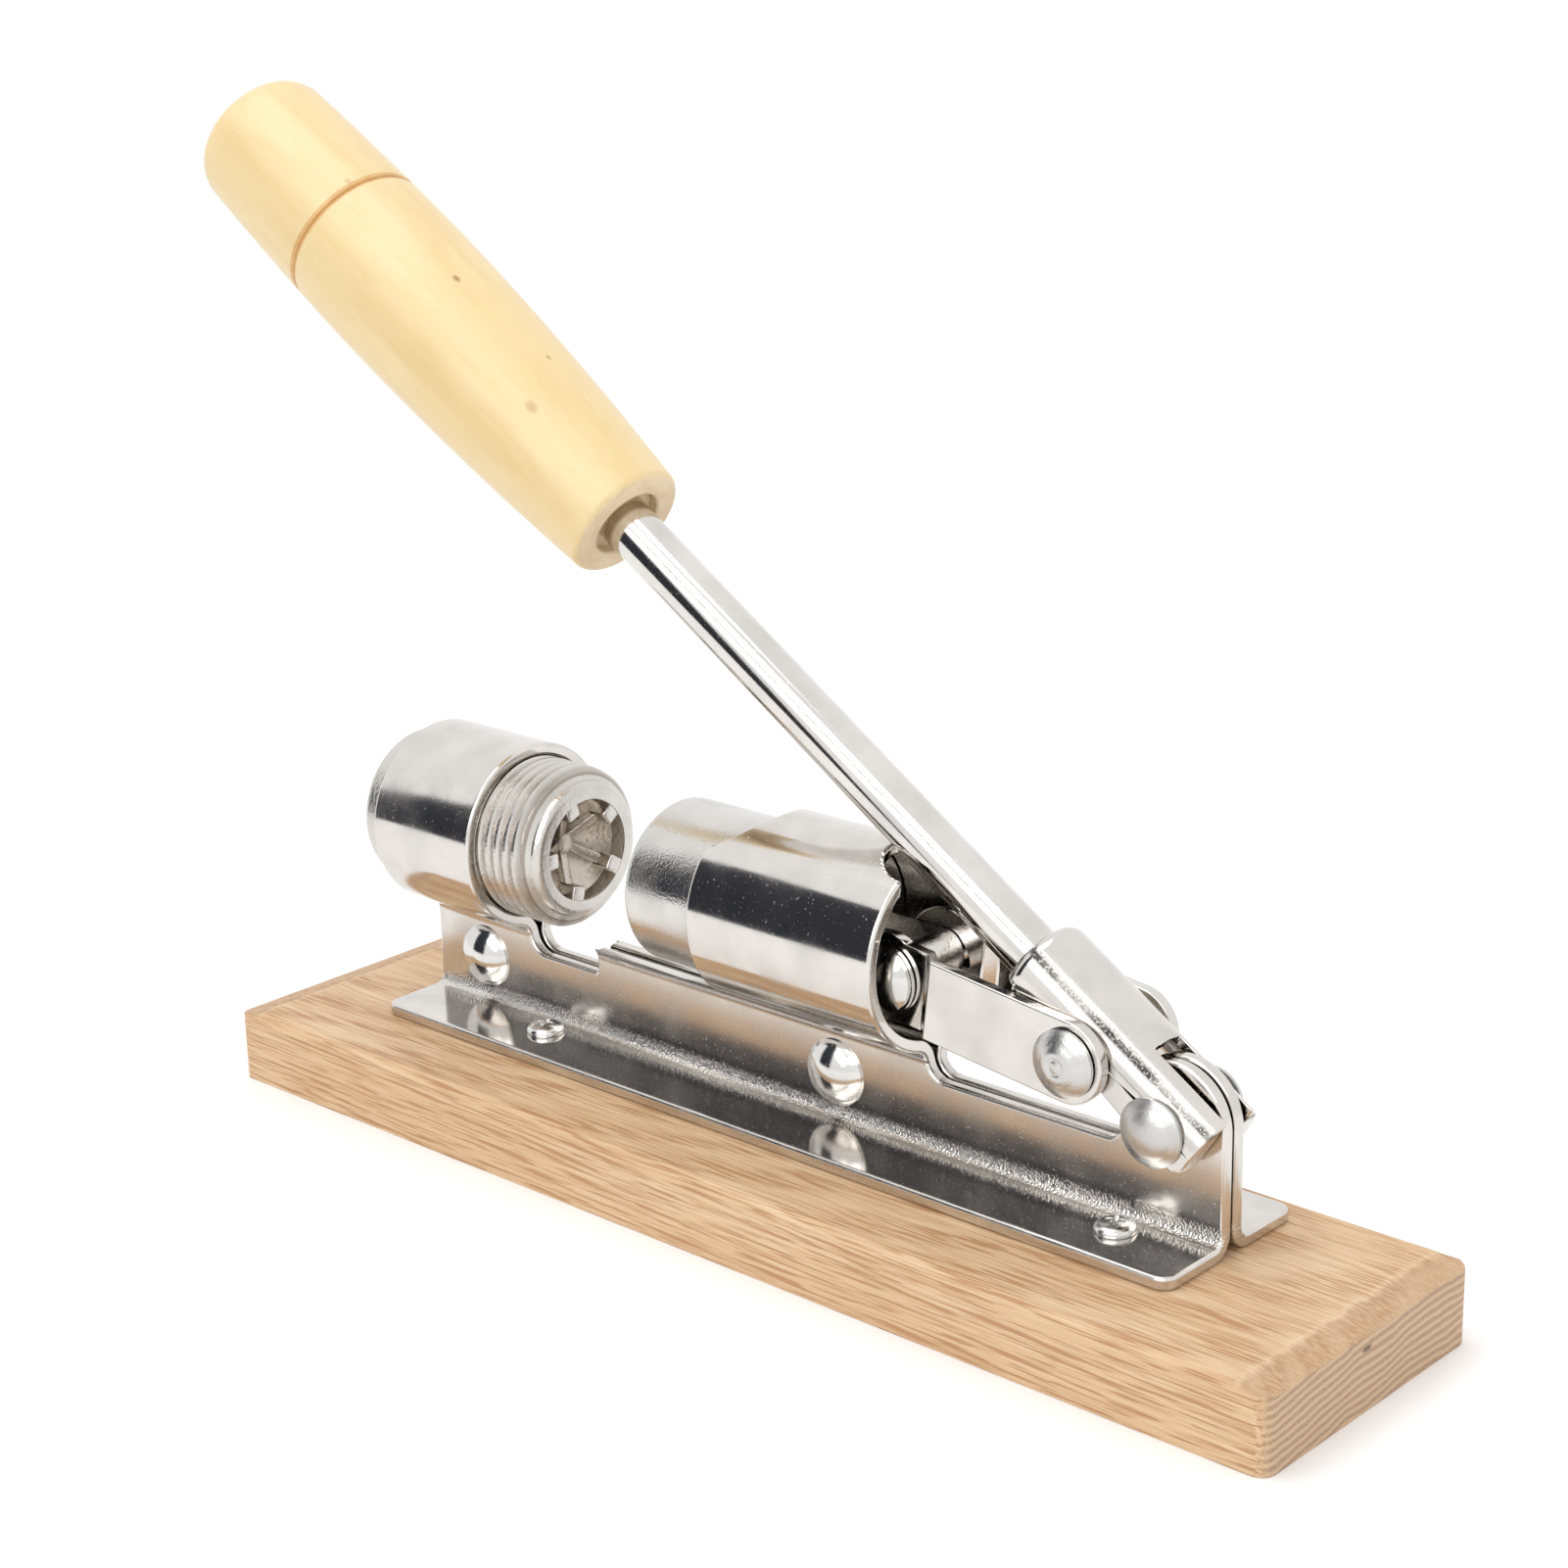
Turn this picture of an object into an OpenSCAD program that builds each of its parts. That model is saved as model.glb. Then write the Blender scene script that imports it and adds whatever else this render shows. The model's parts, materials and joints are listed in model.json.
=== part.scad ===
// Lever nutcracker press: a folded sheet-steel body on a wooden base holds a screw-in
// anvil cup at the front and a sliding ram behind it. A hinged lever with a turned
// wooden grip drives the ram through a pair of cranked links.
// X runs along the base towards the pivot, Y towards the far side and Z up. The origin
// is the middle of the base's underside. The lever is drawn down on its stop.

/* [Base] */
// Length of the wooden base
base_l = 250; // [230:1:300]
// Width of the wooden base
base_w = 60; // [52:1:90]
// Thickness of the wooden base
base_t = 15; // [12:0.5:30]
// Width of the shallow slope along each end of the base's top
end_slope_w = 6.5; // [3:0.5:12]
// Drop of that slope at the end face
end_slope_drop = 1.3; // [0.5:0.1:4]
// Radius of the base's long top edges
base_edge_r = 2; // [0.5:0.1:5]
// Radius of the base's upright corners
base_corner_r = 3; // [1:0.1:8]

/* [Body shell] */
// How far the body's middle plane lies beyond the middle of the base
body_offset = 5.4; // [0:0.1:8]
// Thickness of the folded sheet
sheet_t = 2.5; // [2:0.1:3]
// Gap of the seam between the two upright walls
seam_gap = 0.7; // [0.3:0.1:1.2]
// Bore radius of both tubes
tube_bore_r = 16; // [15:0.1:18]
// Height of the tubes' axis over the base's top
tube_h = 38.9; // [37:0.1:46]
// Radius of the bend from a wall into the tube, on its open side
neck_r = 3; // [2:0.1:5]
// Radius of the bend from a wall into the flange, on its open side
foot_r = 2; // [1.5:0.1:2.4]
// Width over both flanges
flange_w = 33.6; // [30:0.1:44]
// Corner radius of the flanges in plan
flange_corner_r = 3; // [1:0.1:4]
// Distance of the shell's front edge from the middle of the base
shell_front = 98.8; // [90:0.1:106]
// Length of the front tube
front_tube_l = 27.5; // [22:0.1:36]
// Length of the open gap for the nut, between the tubes
nut_gap_l = 58.3; // [50:0.1:70]
// Length of the rear tube
rear_tube_l = 43.8; // [38:0.1:48]
// Height of the gap's low floor over the base's top
low_floor_h = 15.4; // [12:0.1:17]
// Length of the gap's low floor
low_floor_l = 18.6; // [12:0.1:26]
// Height of the gap's high floor over the base's top
high_floor_h = 20.3; // [18:0.1:22]
// Radius of the low floor's front corner
floor_corner_r = 4; // [1:0.1:4.5]
// Radius of the scallop in the rear tube's front edge
scallop_r = 13.5; // [8:0.1:15]
// Distance of the scallop's centre ahead of that edge
scallop_set = 5.2; // [2:0.1:8]
// Radius of the round notch that the lever rod comes to rest in
notch_r = 9.3; // [8:0.1:12]
// Height of the deck behind the rear tube over the base's top
rear_deck_h = 15.8; // [12:0.1:17]
// Radius of the corner between the rear tube and that deck
rear_deck_r = 3.7; // [1:0.1:5]
// Radius of the pivot ear's round top
ear_r = 10.6; // [9:0.1:11]
// Radius of the corner between the deck and the ear
ear_foot_r = 3; // [1:0.1:5]

/* [Lever linkage] */
// Distance of the pivot from the middle of the base
pivot_x = 83.6; // [80:0.1:90]
// Height of the pivot over the base's top
pivot_h = 22.4; // [20:0.1:24]
// Rise of the lever over the level at rest, in degrees
lever_rise = 33.07; // [31:0.1:36]
// Swing of the lever from rest to upright, in degrees
lever_swing = 60; // [40:1:65]
// Distance of the link rivet from the pivot, along the lever
link_pin_along = 18.27; // [16.5:0.1:20]
// Distance of the link rivet below the pivot, square to the lever
link_pin_drop = 1.27; // [0:0.1:3]
// Distance of the rod's axis above the pivot, square to the lever
rod_lift = 0.93; // [0:0.1:2]
// Length of the links between rivet and ram pin
link_l = 40.87; // [38:0.1:46]
// Distance of the ram pin below the tubes' axis
ram_pin_drop = 2.9; // [0:0.1:4]

/* [Links] */
// Thickness of a link
link_t = 2.3; // [1.8:0.1:2.8]
// Width of a link
link_w = 14.8; // [14:0.1:16]
// Radius of the round end over the ram pin
link_eye_r = 8.3; // [8:0.1:9]
// Length of the crank in the link
link_crank_l = 2.2; // [2:0.1:6]

/* [Yoke] */
// Outer half-width of the yoke, which is also the radius of its back
yoke_r = 8.6; // [8:0.1:9.5]
// Wall of the yoke
yoke_t = 2; // [1.5:0.1:2.2]
// Distance from the pivot to the yoke's mouth
yoke_mouth = 37; // [32:0.1:48]
// Distance from the pivot to the yoke's tail
yoke_tail = 8; // [7:0.1:9]
// Depth of the walls' edge below the pivot, at the mouth
mouth_edge_drop = 0.5; // [0:0.1:3]
// Depth of the walls' edge below the pivot, at the tail
tail_edge_drop = 3.2; // [2:0.1:5]
// Radius of the walls' round lobe at the pivot
pivot_lobe_r = 5.8; // [5:0.1:6]
// Radius of the walls' round lobe at the link rivet
link_lobe_r = 6.2; // [5:0.1:7]
// Width of the slot in the back, which clears the ear
back_slot_w = 7; // [6.6:0.1:8]
// Distance from the pivot to the end of that slot
back_slot_end = 9.5; // [9:0.1:11]
// Length of the collar that holds the rod
collar_l = 4; // [3:0.1:8]
// Rounding of the mouth's outer edge
mouth_round_r = 2.6; // [1:0.1:3]

/* [Lever rod and grip] */
// Radius of the rod
rod_r = 5; // [4.5:0.1:5.5]
// Distance from the pivot to the rod's inner end
rod_start = 14; // [13:0.1:15]
// Distance from the pivot to the near end of the grip
grip_start = 151; // [130:1:180]
// Length of the grip
grip_l = 120.5; // [90:0.5:140]
// Largest radius of the grip
grip_r = 15.4; // [13:0.1:18]
// Distance of the largest radius from the near end
grip_belly = 71; // [50:0.5:80]
// Radius lost from the belly to the near end
grip_near_slim = 3.5; // [1:0.1:5]
// Radius lost from the belly to the far end
grip_far_slim = 1.4; // [0.5:0.1:4]
// Rounding of the grip's near edge
grip_near_round = 1.5; // [0.5:0.1:3]
// Rounding of the grip's far edge
grip_far_round = 4; // [1:0.1:6]
// Distance of the turned groove from the near end
groove_at = 85.5; // [78:0.5:88]
// Width of the turned groove
groove_w = 1.2; // [0.6:0.1:2]
// Depth of the turned groove
groove_d = 0.8; // [0.4:0.1:1.5]
// Depth that the rod goes into the grip
socket_l = 50; // [30:1:70]
// Radius of the recess round the rod
recess_r = 7; // [6.5:0.1:8]
// Depth of that recess
recess_d = 2; // [1:0.1:3]

/* [Anvil and ram] */
// Distance of the anvil's rim behind the front tube
anvil_reach = 14.3; // [10:0.1:18]
// Length of the anvil that shows ahead of the front tube, its plug apart
anvil_proud = 0.7; // [0.5:0.1:4]
// Length of the anvil's rim that has no thread
anvil_nose_l = 3.5; // [3:0.1:6]
// Radius of the nose behind the rim
nose_r = 13.5; // [13:0.1:14]
// Radius of the rim's rounding
rim_round_r = 1.7; // [1:0.1:1.7]
// Radius of the cups' opening
cup_r = 10.1; // [9:0.1:10.4]
// Depth of the cups
cup_depth = 9.5; // [7:0.1:12]
// Radius of the corner at the cups' floor
cup_corner_r = 4.5; // [2:0.1:6]
// Number of ribs in each cup
rib_count = 5; // [3:1:7]
// Thickness of a rib
rib_t = 2.6; // [1.5:0.1:3.5]
// Turn of the first rib, in degrees
rib_turn = 39; // [0:1:71]
// Depth of the ribs below the rim, where they meet in the middle
rib_mid_depth = 5; // [3:0.1:6.5]
// Depth of the ribs below the rim, at the cup's wall
rib_side_depth = 1.5; // [1.2:0.1:3]
// Radius at which the ribs reach their full height
rib_crest_r = 6.5; // [4:0.1:8]
// Height of the plug's head at the front of the anvil
plug_h = 5.2; // [3:0.1:8]
// Rounding of the plug's front edge
plug_round_r = 1.5; // [0.5:0.1:2.5]
// Radius of the plug's spigot, on which the anvil turns
spigot_r = 8; // [5:0.1:10]
// Length of the spigot
spigot_l = 12; // [6:0.1:16]
// Distance from the ram pin to the ram's face
ram_reach = 58.8; // [54:0.1:64]
// Length of the ram's round body
ram_body_l = 41.8; // [34:0.1:43]
// Rounding of the ram's edges
ram_round_r = 1.5; // [0.5:0.1:2]
// Width of the ram's tail
tail_w = 13; // [11:0.1:13]
// Height of the ram's tail
tail_h = 9.4; // [8:0.1:11]

/* [Rivets and screws] */
// Radius of the rivets' shanks
shank_r = 3; // [2.5:0.1:3.2]
// Radius of the heads at the pivot and the link rivet
rivet_head_r = 6.1; // [5.5:0.1:6.8]
// Height of those heads
rivet_head_h = 2.6; // [1.5:0.1:3.5]
// Radius of the ram pin's heads
ram_pin_head_r = 6; // [5.5:0.1:6.4]
// Height of the ram pin's heads
ram_pin_head_h = 2.4; // [1.5:0.1:2.8]
// Height of the clamp rivets' heads
clamp_head_h = 3.1; // [2:0.1:4]
// Straight wall left above the clamp rivets' heads
clamp_room = 0.71; // [0.3:0.01:2]
// Upright rim of every rivet head
head_rim = 0.5; // [0.2:0.1:0.8]
// Radius of the washers on the ram pin
washer_r = 6.6; // [6.5:0.1:7.2]
// Thickness of those washers
washer_t = 0.8; // [0.5:0.1:1]
// Radius of the spacers beside the pivot ear
spacer_r = 4.5; // [4:0.1:6]
// Radius of the base screws' heads
screw_head_r = 3.7; // [3.3:0.1:3.9]
// Height of the base screws' heads
screw_head_h = 2.1; // [1.5:0.1:3]
// Radius of the base screws' shanks
screw_r = 1.9; // [1.5:0.1:2.2]
// Length of the base screws in the wood
screw_l = 9; // [5:0.1:10]
// Distance of the rear screws ahead of the shell's rear edge
rear_screw_set = 17.8; // [14:0.1:24]
// Reach of the cross recess from a screw's axis
recess_reach = 2.2; // [1.5:0.1:2.6]
// Width of the cross recess
recess_w = 0.9; // [0.6:0.1:1.2]
// Depth of the cross recess
cross_d = 1.3; // [0.8:0.1:1.4]

/* [Fits] */
// Gap between faces that pass each other
face_gap = 0.3; // [0.2:0.05:0.3]
// Radial gap of a shank in a hole that it turns in
turn_fit = 0.08; // [0.04:0.01:0.1]
// Radial gap of a shank in a hole that holds it
hold_fit = 0.02; // [0.01:0.01:0.04]
// Radial gap of the anvil in the front tube
anvil_fit = 0.1; // [0.05:0.01:0.15]
// Extra radius of the links' wide holes at the ram pin
pin_ease = 0.55; // [0.4:0.05:0.6]

/* [Hidden] */
$fn = 96;

// Overrun of every cut
over = 1;

// Body section, measured from the body's middle plane
wall_in = seam_gap / 2;
wall_out = wall_in + sheet_t;
tube_r = tube_bore_r + sheet_t;
neck_y = wall_out + neck_r;
neck_z = tube_h - sqrt(pow(tube_r + neck_r, 2) - pow(neck_y, 2));
foot_y = wall_out + foot_r;
foot_z = sheet_t + foot_r;
tube_top = tube_h + tube_r;

// The clamp rivets' heads fill the straight wall between its two bends
clamp_head_r = (neck_z - foot_z - clamp_room) / 2;
clamp_h = foot_z + clamp_head_r;

// Stations along the body
front_x = -shell_front;
gap_x = front_x + front_tube_l;
step_x = gap_x + low_floor_l;
rear_tube_x = gap_x + nut_gap_l;
rear_edge_x = rear_tube_x + rear_tube_l;
deck_x = rear_edge_x + rear_deck_r;
ear_x = pivot_x - ear_r;
shell_end_x = pivot_x + ear_r;
clamp_front_x = gap_x - front_tube_l / 2;
clamp_rear_x = rear_tube_x + rear_tube_l / 2;
screw_front_x = gap_x + low_floor_l / 2;
screw_rear_x = shell_end_x - rear_screw_set;
screw_y = foot_y + screw_head_r + face_gap / 3;

// Linkage in the middle plane: pivot, link rivet and ram pin, each as [x, height]
crank_l = norm([link_pin_along, link_pin_drop]);
crank_rest = 180 - lever_rise + atan(link_pin_drop / link_pin_along);
ram_pin_h = tube_h - ram_pin_drop;
function link_pin(t) = [pivot_x + crank_l * cos(crank_rest - t),
    pivot_h + crank_l * sin(crank_rest - t)];
function ram_pin_x(t) = link_pin(t)[0] - sqrt(pow(link_l, 2) - pow(ram_pin_h - link_pin(t)[1], 2));
function link_tilt(t) = asin((ram_pin_h - link_pin(t)[1]) / link_l);
pin_x = ram_pin_x(0);

// The ram and the links follow the lever at steady rates. Half way through the swing
// the ram pin then stands off the links' true centre by this much, along and across.
half_pin = [(pin_x + ram_pin_x(lever_swing)) / 2, ram_pin_h] - link_pin(lever_swing / 2);
half_tilt = (link_tilt(0) + link_tilt(lever_swing)) / 2;
pin_drift = [half_pin[1] * sin(half_tilt) - half_pin[0] * cos(half_tilt) - link_l,
    half_pin[0] * sin(half_tilt) + half_pin[1] * cos(half_tilt)];

// Flat of a link at the ram pin, so long that the washer clears the crank all the way
link_flat_l = washer_r + abs(pin_drift[0]) + face_gap;

// The rod's underside meets the rear tube's top here
notch_x = pivot_x + rod_lift * sin(lever_rise)
    - (tube_top + (rod_r + face_gap) / cos(lever_rise) - pivot_h - rod_lift * cos(lever_rise))
    / tan(lever_rise);

// Widths across the linkage, from the middle plane
yoke_in = yoke_r - yoke_t;
link_out_y = yoke_r + face_gap;
link_in_y = tail_w / 2 + face_gap;
link_head_y = link_out_y + link_t + face_gap;
washer_y = link_in_y + link_t + face_gap;
ram_head_y = washer_y + washer_t;

// Anvil and ram
crown_x = gap_x + anvil_reach;
anvil_back_x = front_x - anvil_proud;
anvil_r = tube_bore_r - anvil_fit;
plug_r = tube_bore_r - anvil_fit - anvil_fit;
ram_r = tube_bore_r - face_gap;
ram_face_x = pin_x - ram_reach;

// Puts the body's own frame on the base: middle plane, heights over the base's top
module on_base() {
    translate([0, body_offset, base_t]) children();
}

// Frame at the pivot: X along the lever towards the grip, Z square to it and up
module on_lever() {
    on_base() translate([pivot_x, 0, pivot_h]) rotate([0, lever_rise, 0]) rotate([0, 0, 180])
        children();
}

// Frame at the link rivet: X along the links towards the ram pin
module on_links() {
    on_base() translate([link_pin(0)[0], 0, link_pin(0)[1]]) rotate([0, link_tilt(0), 0])
        rotate([0, 0, 180]) children();
}

// Turns a shape drawn upwards so that it points along X
module along_x() {
    rotate([0, 90, 0]) children();
}

// Round bar across the body, centred on its middle plane
module cross_bar(r, l) {
    rotate([90, 0, 0]) cylinder(r = r, h = l, center = true);
}

// Outline in X and height, carried across the body over a width of w
module side_cut(w) {
    rotate([90, 0, 0]) linear_extrude(w, center = true) children();
}

// Domed rivet head that stands on its seat at height zero
module rivet_head(r, h) {
    dome_h = h - head_rim;
    ball_r = (pow(r, 2) + pow(dome_h, 2)) / (2 * dome_h);
    cylinder(r = r, h = head_rim);
    translate([0, 0, head_rim]) intersection() {
        translate([0, 0, dome_h - ball_r]) sphere(r = ball_r);
        cylinder(r = r, h = dome_h);
    }
}

// Rivet across the body with a head on each side, seated at half-width seat
module cross_rivet(seat, head_r, head_h) {
    cross_bar(shank_r, 2 * seat);
    for (side = [-1, 1])
        rotate([-90 * side, 0, 0]) translate([0, 0, seat]) rivet_head(head_r, head_h);
}

// Ring round the rivets, between the half-widths from and to, on one side of the body
module side_ring(side, r, hole_r, from, to) {
    rotate([-90 * side, 0, 0]) translate([0, 0, from]) difference() {
        cylinder(r = r, h = to - from);
        translate([0, 0, -over]) cylinder(r = hole_r, h = to - from + 2 * over);
    }
}

// Section of the folded sheet as filled from its outer faces
module section_outside() {
    translate([0, tube_h]) circle(r = tube_r);
    translate([-wall_out, 0]) square([2 * wall_out, tube_h]);
    difference() {
        polygon([[-neck_y, neck_z], [neck_y, neck_z], [0, tube_h]]);
        for (side = [-1, 1])
            translate([side * neck_y, neck_z]) circle(r = neck_r);
    }
    difference() {
        translate([-foot_y, 0]) square([2 * foot_y, foot_y - wall_in]);
        for (side = [-1, 1])
            translate([side * foot_y, foot_z]) circle(r = foot_r);
    }
}

// Section of what the folded sheet encloses: the bore, the seam and the open bends
module section_inside() {
    translate([0, tube_h]) circle(r = tube_bore_r);
    translate([-wall_in, -over]) square([seam_gap, tube_h + over]);
    difference() {
        polygon([[-neck_y, neck_z], [neck_y, neck_z], [0, tube_h]]);
        for (side = [-1, 1])
            translate([side * neck_y, neck_z]) circle(r = neck_r + sheet_t);
    }
    difference() {
        translate([-foot_y, -over]) square([2 * foot_y, foot_z + over]);
        for (side = [-1, 1])
            translate([side * foot_y, foot_z]) circle(r = foot_z);
    }
}

// One flange with rounded outer corners
module flange(side) {
    y_out = flange_w / 2;
    linear_extrude(sheet_t) difference() {
        translate([front_x, side > 0 ? foot_y : -y_out]) square([shell_end_x - front_x, y_out - foot_y]);
        for (x = [front_x, shell_end_x])
            corner_trim(x, side * y_out, flange_corner_r, x > 0 ? -1 : 1, -side);
    }
}

// What rounding a corner at [x, y] takes away, where the sheet lies towards to_x and to_y
module corner_trim(x, y, r, to_x, to_y) {
    difference() {
        translate([x + to_x * (r - over) / 2, y + to_y * (r - over) / 2])
            square([r + over, r + over], center = true);
        translate([x + to_x * r, y + to_y * r]) circle(r = r);
    }
}

// Side outline of the gap for the nut
module nut_gap_outline() {
    top = tube_top + over;
    translate([gap_x, high_floor_h]) square([nut_gap_l, top - high_floor_h]);
    difference() {
        translate([gap_x, low_floor_h]) square([low_floor_l, top - low_floor_h]);
        corner_trim(gap_x, low_floor_h, floor_corner_r, 1, 1);
    }
}

// Side outline of what is open behind the rear tube, round the pivot ear
module rear_outline() {
    top = tube_top + over;
    difference() {
        translate([rear_edge_x, rear_deck_h])
            square([shell_end_x + over - rear_edge_x, top - rear_deck_h]);
        corner_trim(rear_edge_x, rear_deck_h, rear_deck_r, 1, 1);
        translate([pivot_x, pivot_h]) circle(r = ear_r);
        translate([ear_x, 0]) square([2 * ear_r, pivot_h]);
        difference() {
            translate([ear_x - ear_foot_r, 0]) square([ear_foot_r, rear_deck_h + ear_foot_r]);
            translate([ear_x - ear_foot_r, rear_deck_h + ear_foot_r]) circle(r = ear_foot_r);
        }
    }
}

// Folded tubes and walls, up to the deck behind the rear tube
module folded_sheet() {
    translate([front_x, 0, 0]) rotate([90, 0, 90]) linear_extrude(deck_x - front_x) difference() {
        section_outside();
        section_inside();
    }
}

// The two walls behind the rear tube, with their bends into the flanges
module rear_walls() {
    top = pivot_h + ear_r;
    start_x = deck_x - sheet_t / 2;
    translate([start_x, 0, 0]) rotate([90, 0, 90]) linear_extrude(shell_end_x - start_x) difference() {
        intersection() {
            section_outside();
            translate([-foot_y, 0]) square([2 * foot_y, neck_z]);
        }
        section_inside();
    }
    for (side = [-1, 1])
        translate([start_x, side > 0 ? wall_in : -wall_out, neck_z - sheet_t])
            cube([shell_end_x - start_x, sheet_t, top + sheet_t - neck_z]);
}

module body_shell() {
    cut_w = 2 * tube_r + 2 * over;
    color("gainsboro") on_base() {
        difference() {
            union() {
                folded_sheet();
                rear_walls();
                flange(-1);
                flange(1);
            }
            side_cut(cut_w) nut_gap_outline();
            side_cut(cut_w) rear_outline();
            translate([rear_tube_x - scallop_set, 0, tube_h]) cylinder(r = scallop_r, h = tube_r + over);
            translate([notch_x + notch_r, 0, tube_h]) cylinder(r = notch_r, h = tube_r + over);
            for (x = [clamp_front_x, clamp_rear_x])
                translate([x, 0, clamp_h]) cross_bar(shank_r + hold_fit, 2 * wall_out + over);
            translate([pivot_x, 0, pivot_h]) cross_bar(shank_r + turn_fit, 2 * wall_out + over);
            for (x = [screw_front_x, screw_rear_x], side = [-1, 1])
                translate([x, side * screw_y, -over])
                    cylinder(r = screw_r + face_gap, h = sheet_t + 2 * over);
        }
    }
}

module wooden_base() {
    color("burlywood") difference() {
        intersection() {
            linear_extrude(base_t) base_plan();
            rotate([90, 0, 0]) linear_extrude(base_w + 2 * over, center = true) base_side();
            rotate([90, 0, 90]) linear_extrude(base_l + 2 * over, center = true) base_end();
        }
        for (x = [screw_front_x, screw_rear_x], side = [-1, 1])
            on_base() translate([x, side * screw_y, -screw_l - hold_fit])
                cylinder(r = screw_r + hold_fit, h = screw_l + over);
    }
}

// Base seen from above
module base_plan() {
    x = base_l / 2 - base_corner_r;
    y = base_w / 2 - base_corner_r;
    square([2 * x, base_w], center = true);
    square([base_l, 2 * y], center = true);
    for (i = [-1, 1], j = [-1, 1])
        translate([i * x, j * y]) circle(r = base_corner_r);
}

// Base seen from the side, with the slopes at its ends
module base_side() {
    x = base_l / 2;
    polygon([[-x, 0], [x, 0], [x, base_t - end_slope_drop], [x - end_slope_w, base_t],
        [end_slope_w - x, base_t], [-x, base_t - end_slope_drop]]);
}

// Base seen from the end, with its rounded long edges
module base_end() {
    y = base_w / 2 - base_edge_r;
    translate([-y, 0]) square([2 * y, base_t]);
    translate([-base_w / 2, 0]) square([base_w, base_t - base_edge_r]);
    for (side = [-1, 1])
        translate([side * y, base_t - base_edge_r]) circle(r = base_edge_r);
}

module clamp_rivet(x) {
    color("silver") on_base() translate([x, 0, clamp_h])
        cross_rivet(wall_out, clamp_head_r, clamp_head_h);
}

// Pan-head wood screw through a flange, with a cross recess
module base_screw(x, side) {
    color("silver") on_base() translate([x, side * screw_y, 0]) difference() {
        union() {
            translate([0, 0, sheet_t]) rivet_head(screw_head_r, screw_head_h);
            translate([0, 0, screw_r - screw_l]) cylinder(r = screw_r, h = screw_l - screw_r + sheet_t);
            translate([0, 0, -screw_l]) cylinder(r1 = 0, r2 = screw_r, h = screw_r);
        }
        for (turn = [0, 90])
            rotate([0, 0, turn]) translate([-recess_reach, -recess_w / 2, sheet_t + screw_head_h - cross_d])
                cube([2 * recess_reach, recess_w, cross_d + over]);
    }
}

// Hollow of a cup that opens at height zero, drawn about Z
module cup_hollow() {
    floor_z = cup_corner_r - cup_depth;
    translate([0, 0, floor_z]) cylinder(r = cup_r, h = cup_depth - cup_corner_r + over);
    translate([0, 0, -cup_depth]) cylinder(r = cup_r - cup_corner_r, h = cup_depth);
    translate([0, 0, floor_z]) rotate_extrude() intersection() {
        translate([cup_r - cup_corner_r, 0]) circle(r = cup_corner_r);
        translate([0, -cup_corner_r]) square([cup_r, cup_corner_r]);
    }
}

// Ribs of a cup that opens at height zero, drawn about Z
module cup_ribs() {
    bed = -cup_depth - over;
    reach = cup_r + rim_round_r / 2;
    for (i = [0 : rib_count - 1])
        rotate([0, 0, rib_turn + i * 360 / rib_count]) rotate([90, 0, 0])
            linear_extrude(rib_t, center = true)
                polygon([[0, bed], [0, -rib_mid_depth], [rib_crest_r, -rib_side_depth],
                    [reach, -rib_side_depth], [reach, bed]]);
}

// Anvil about Z, with the rim at height zero and the plug's bore at the far end
module anvil_profile(l) {
    rim_x = cup_r + rim_round_r;
    translate([0, 0, -l]) cylinder(r = anvil_r, h = l - anvil_nose_l);
    translate([0, 0, -anvil_nose_l]) cylinder(r1 = anvil_r, r2 = nose_r, h = anvil_nose_l - rim_round_r);
    translate([0, 0, -rim_round_r]) {
        rotate_extrude() translate([rim_x, 0]) circle(r = rim_round_r);
        cylinder(r = rim_x, h = rim_round_r);
    }
}

module anvil_barrel() {
    l = crown_x - anvil_back_x;
    color("darkgray") on_base() translate([crown_x, 0, tube_h]) along_x() {
        difference() {
            anvil_profile(l);
            cup_hollow();
            translate([0, 0, -l - over]) cylinder(r = spigot_r + turn_fit, h = spigot_l + face_gap + over);
        }
        intersection() {
            cup_ribs();
            translate([0, 0, -cup_depth - over]) cylinder(r = rim_round_r / 2 + cup_r, h = cup_depth + over);
        }
    }
}

module anvil_plug() {
    head_x = anvil_back_x - face_gap;
    color("darkgray") on_base() translate([head_x, 0, tube_h]) along_x() {
        translate([0, 0, plug_round_r - plug_h]) cylinder(r = plug_r, h = plug_h - plug_round_r);
        translate([0, 0, -plug_h]) cylinder(r = plug_r - plug_round_r, h = plug_h);
        translate([0, 0, plug_round_r - plug_h]) rotate_extrude()
            translate([plug_r - plug_round_r, 0]) circle(r = plug_round_r);
        cylinder(r = spigot_r, h = spigot_l);
    }
}

// Ram about Z, with its face at height zero and its tail reaching down to the ram pin
module ram_solid() {
    round_x = ram_r - ram_round_r;
    translate([0, 0, -ram_body_l]) cylinder(r = ram_r, h = ram_body_l - ram_round_r);
    translate([0, 0, -ram_round_r]) {
        rotate_extrude() translate([round_x, 0]) circle(r = ram_round_r);
        cylinder(r = round_x, h = ram_round_r);
    }
}

module ram() {
    color("silver") on_base() difference() {
        union() {
            translate([ram_face_x, 0, tube_h]) rotate([0, -90, 0]) difference() {
                ram_solid();
                cup_hollow();
            }
            translate([ram_face_x, 0, tube_h]) rotate([0, -90, 0]) intersection() {
                cup_ribs();
                translate([0, 0, -cup_depth - over])
                    cylinder(r = rim_round_r / 2 + cup_r, h = cup_depth + over);
            }
            translate([ram_face_x + ram_body_l - ram_round_r, -tail_w / 2, ram_pin_h - tail_h / 2])
                cube([ram_reach - ram_body_l + ram_round_r, tail_w, tail_h]);
            translate([pin_x, 0, ram_pin_h]) cross_bar(tail_h / 2, tail_w);
        }
        translate([pin_x, 0, ram_pin_h]) cross_bar(shank_r + hold_fit, tail_w + over);
    }
}

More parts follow.
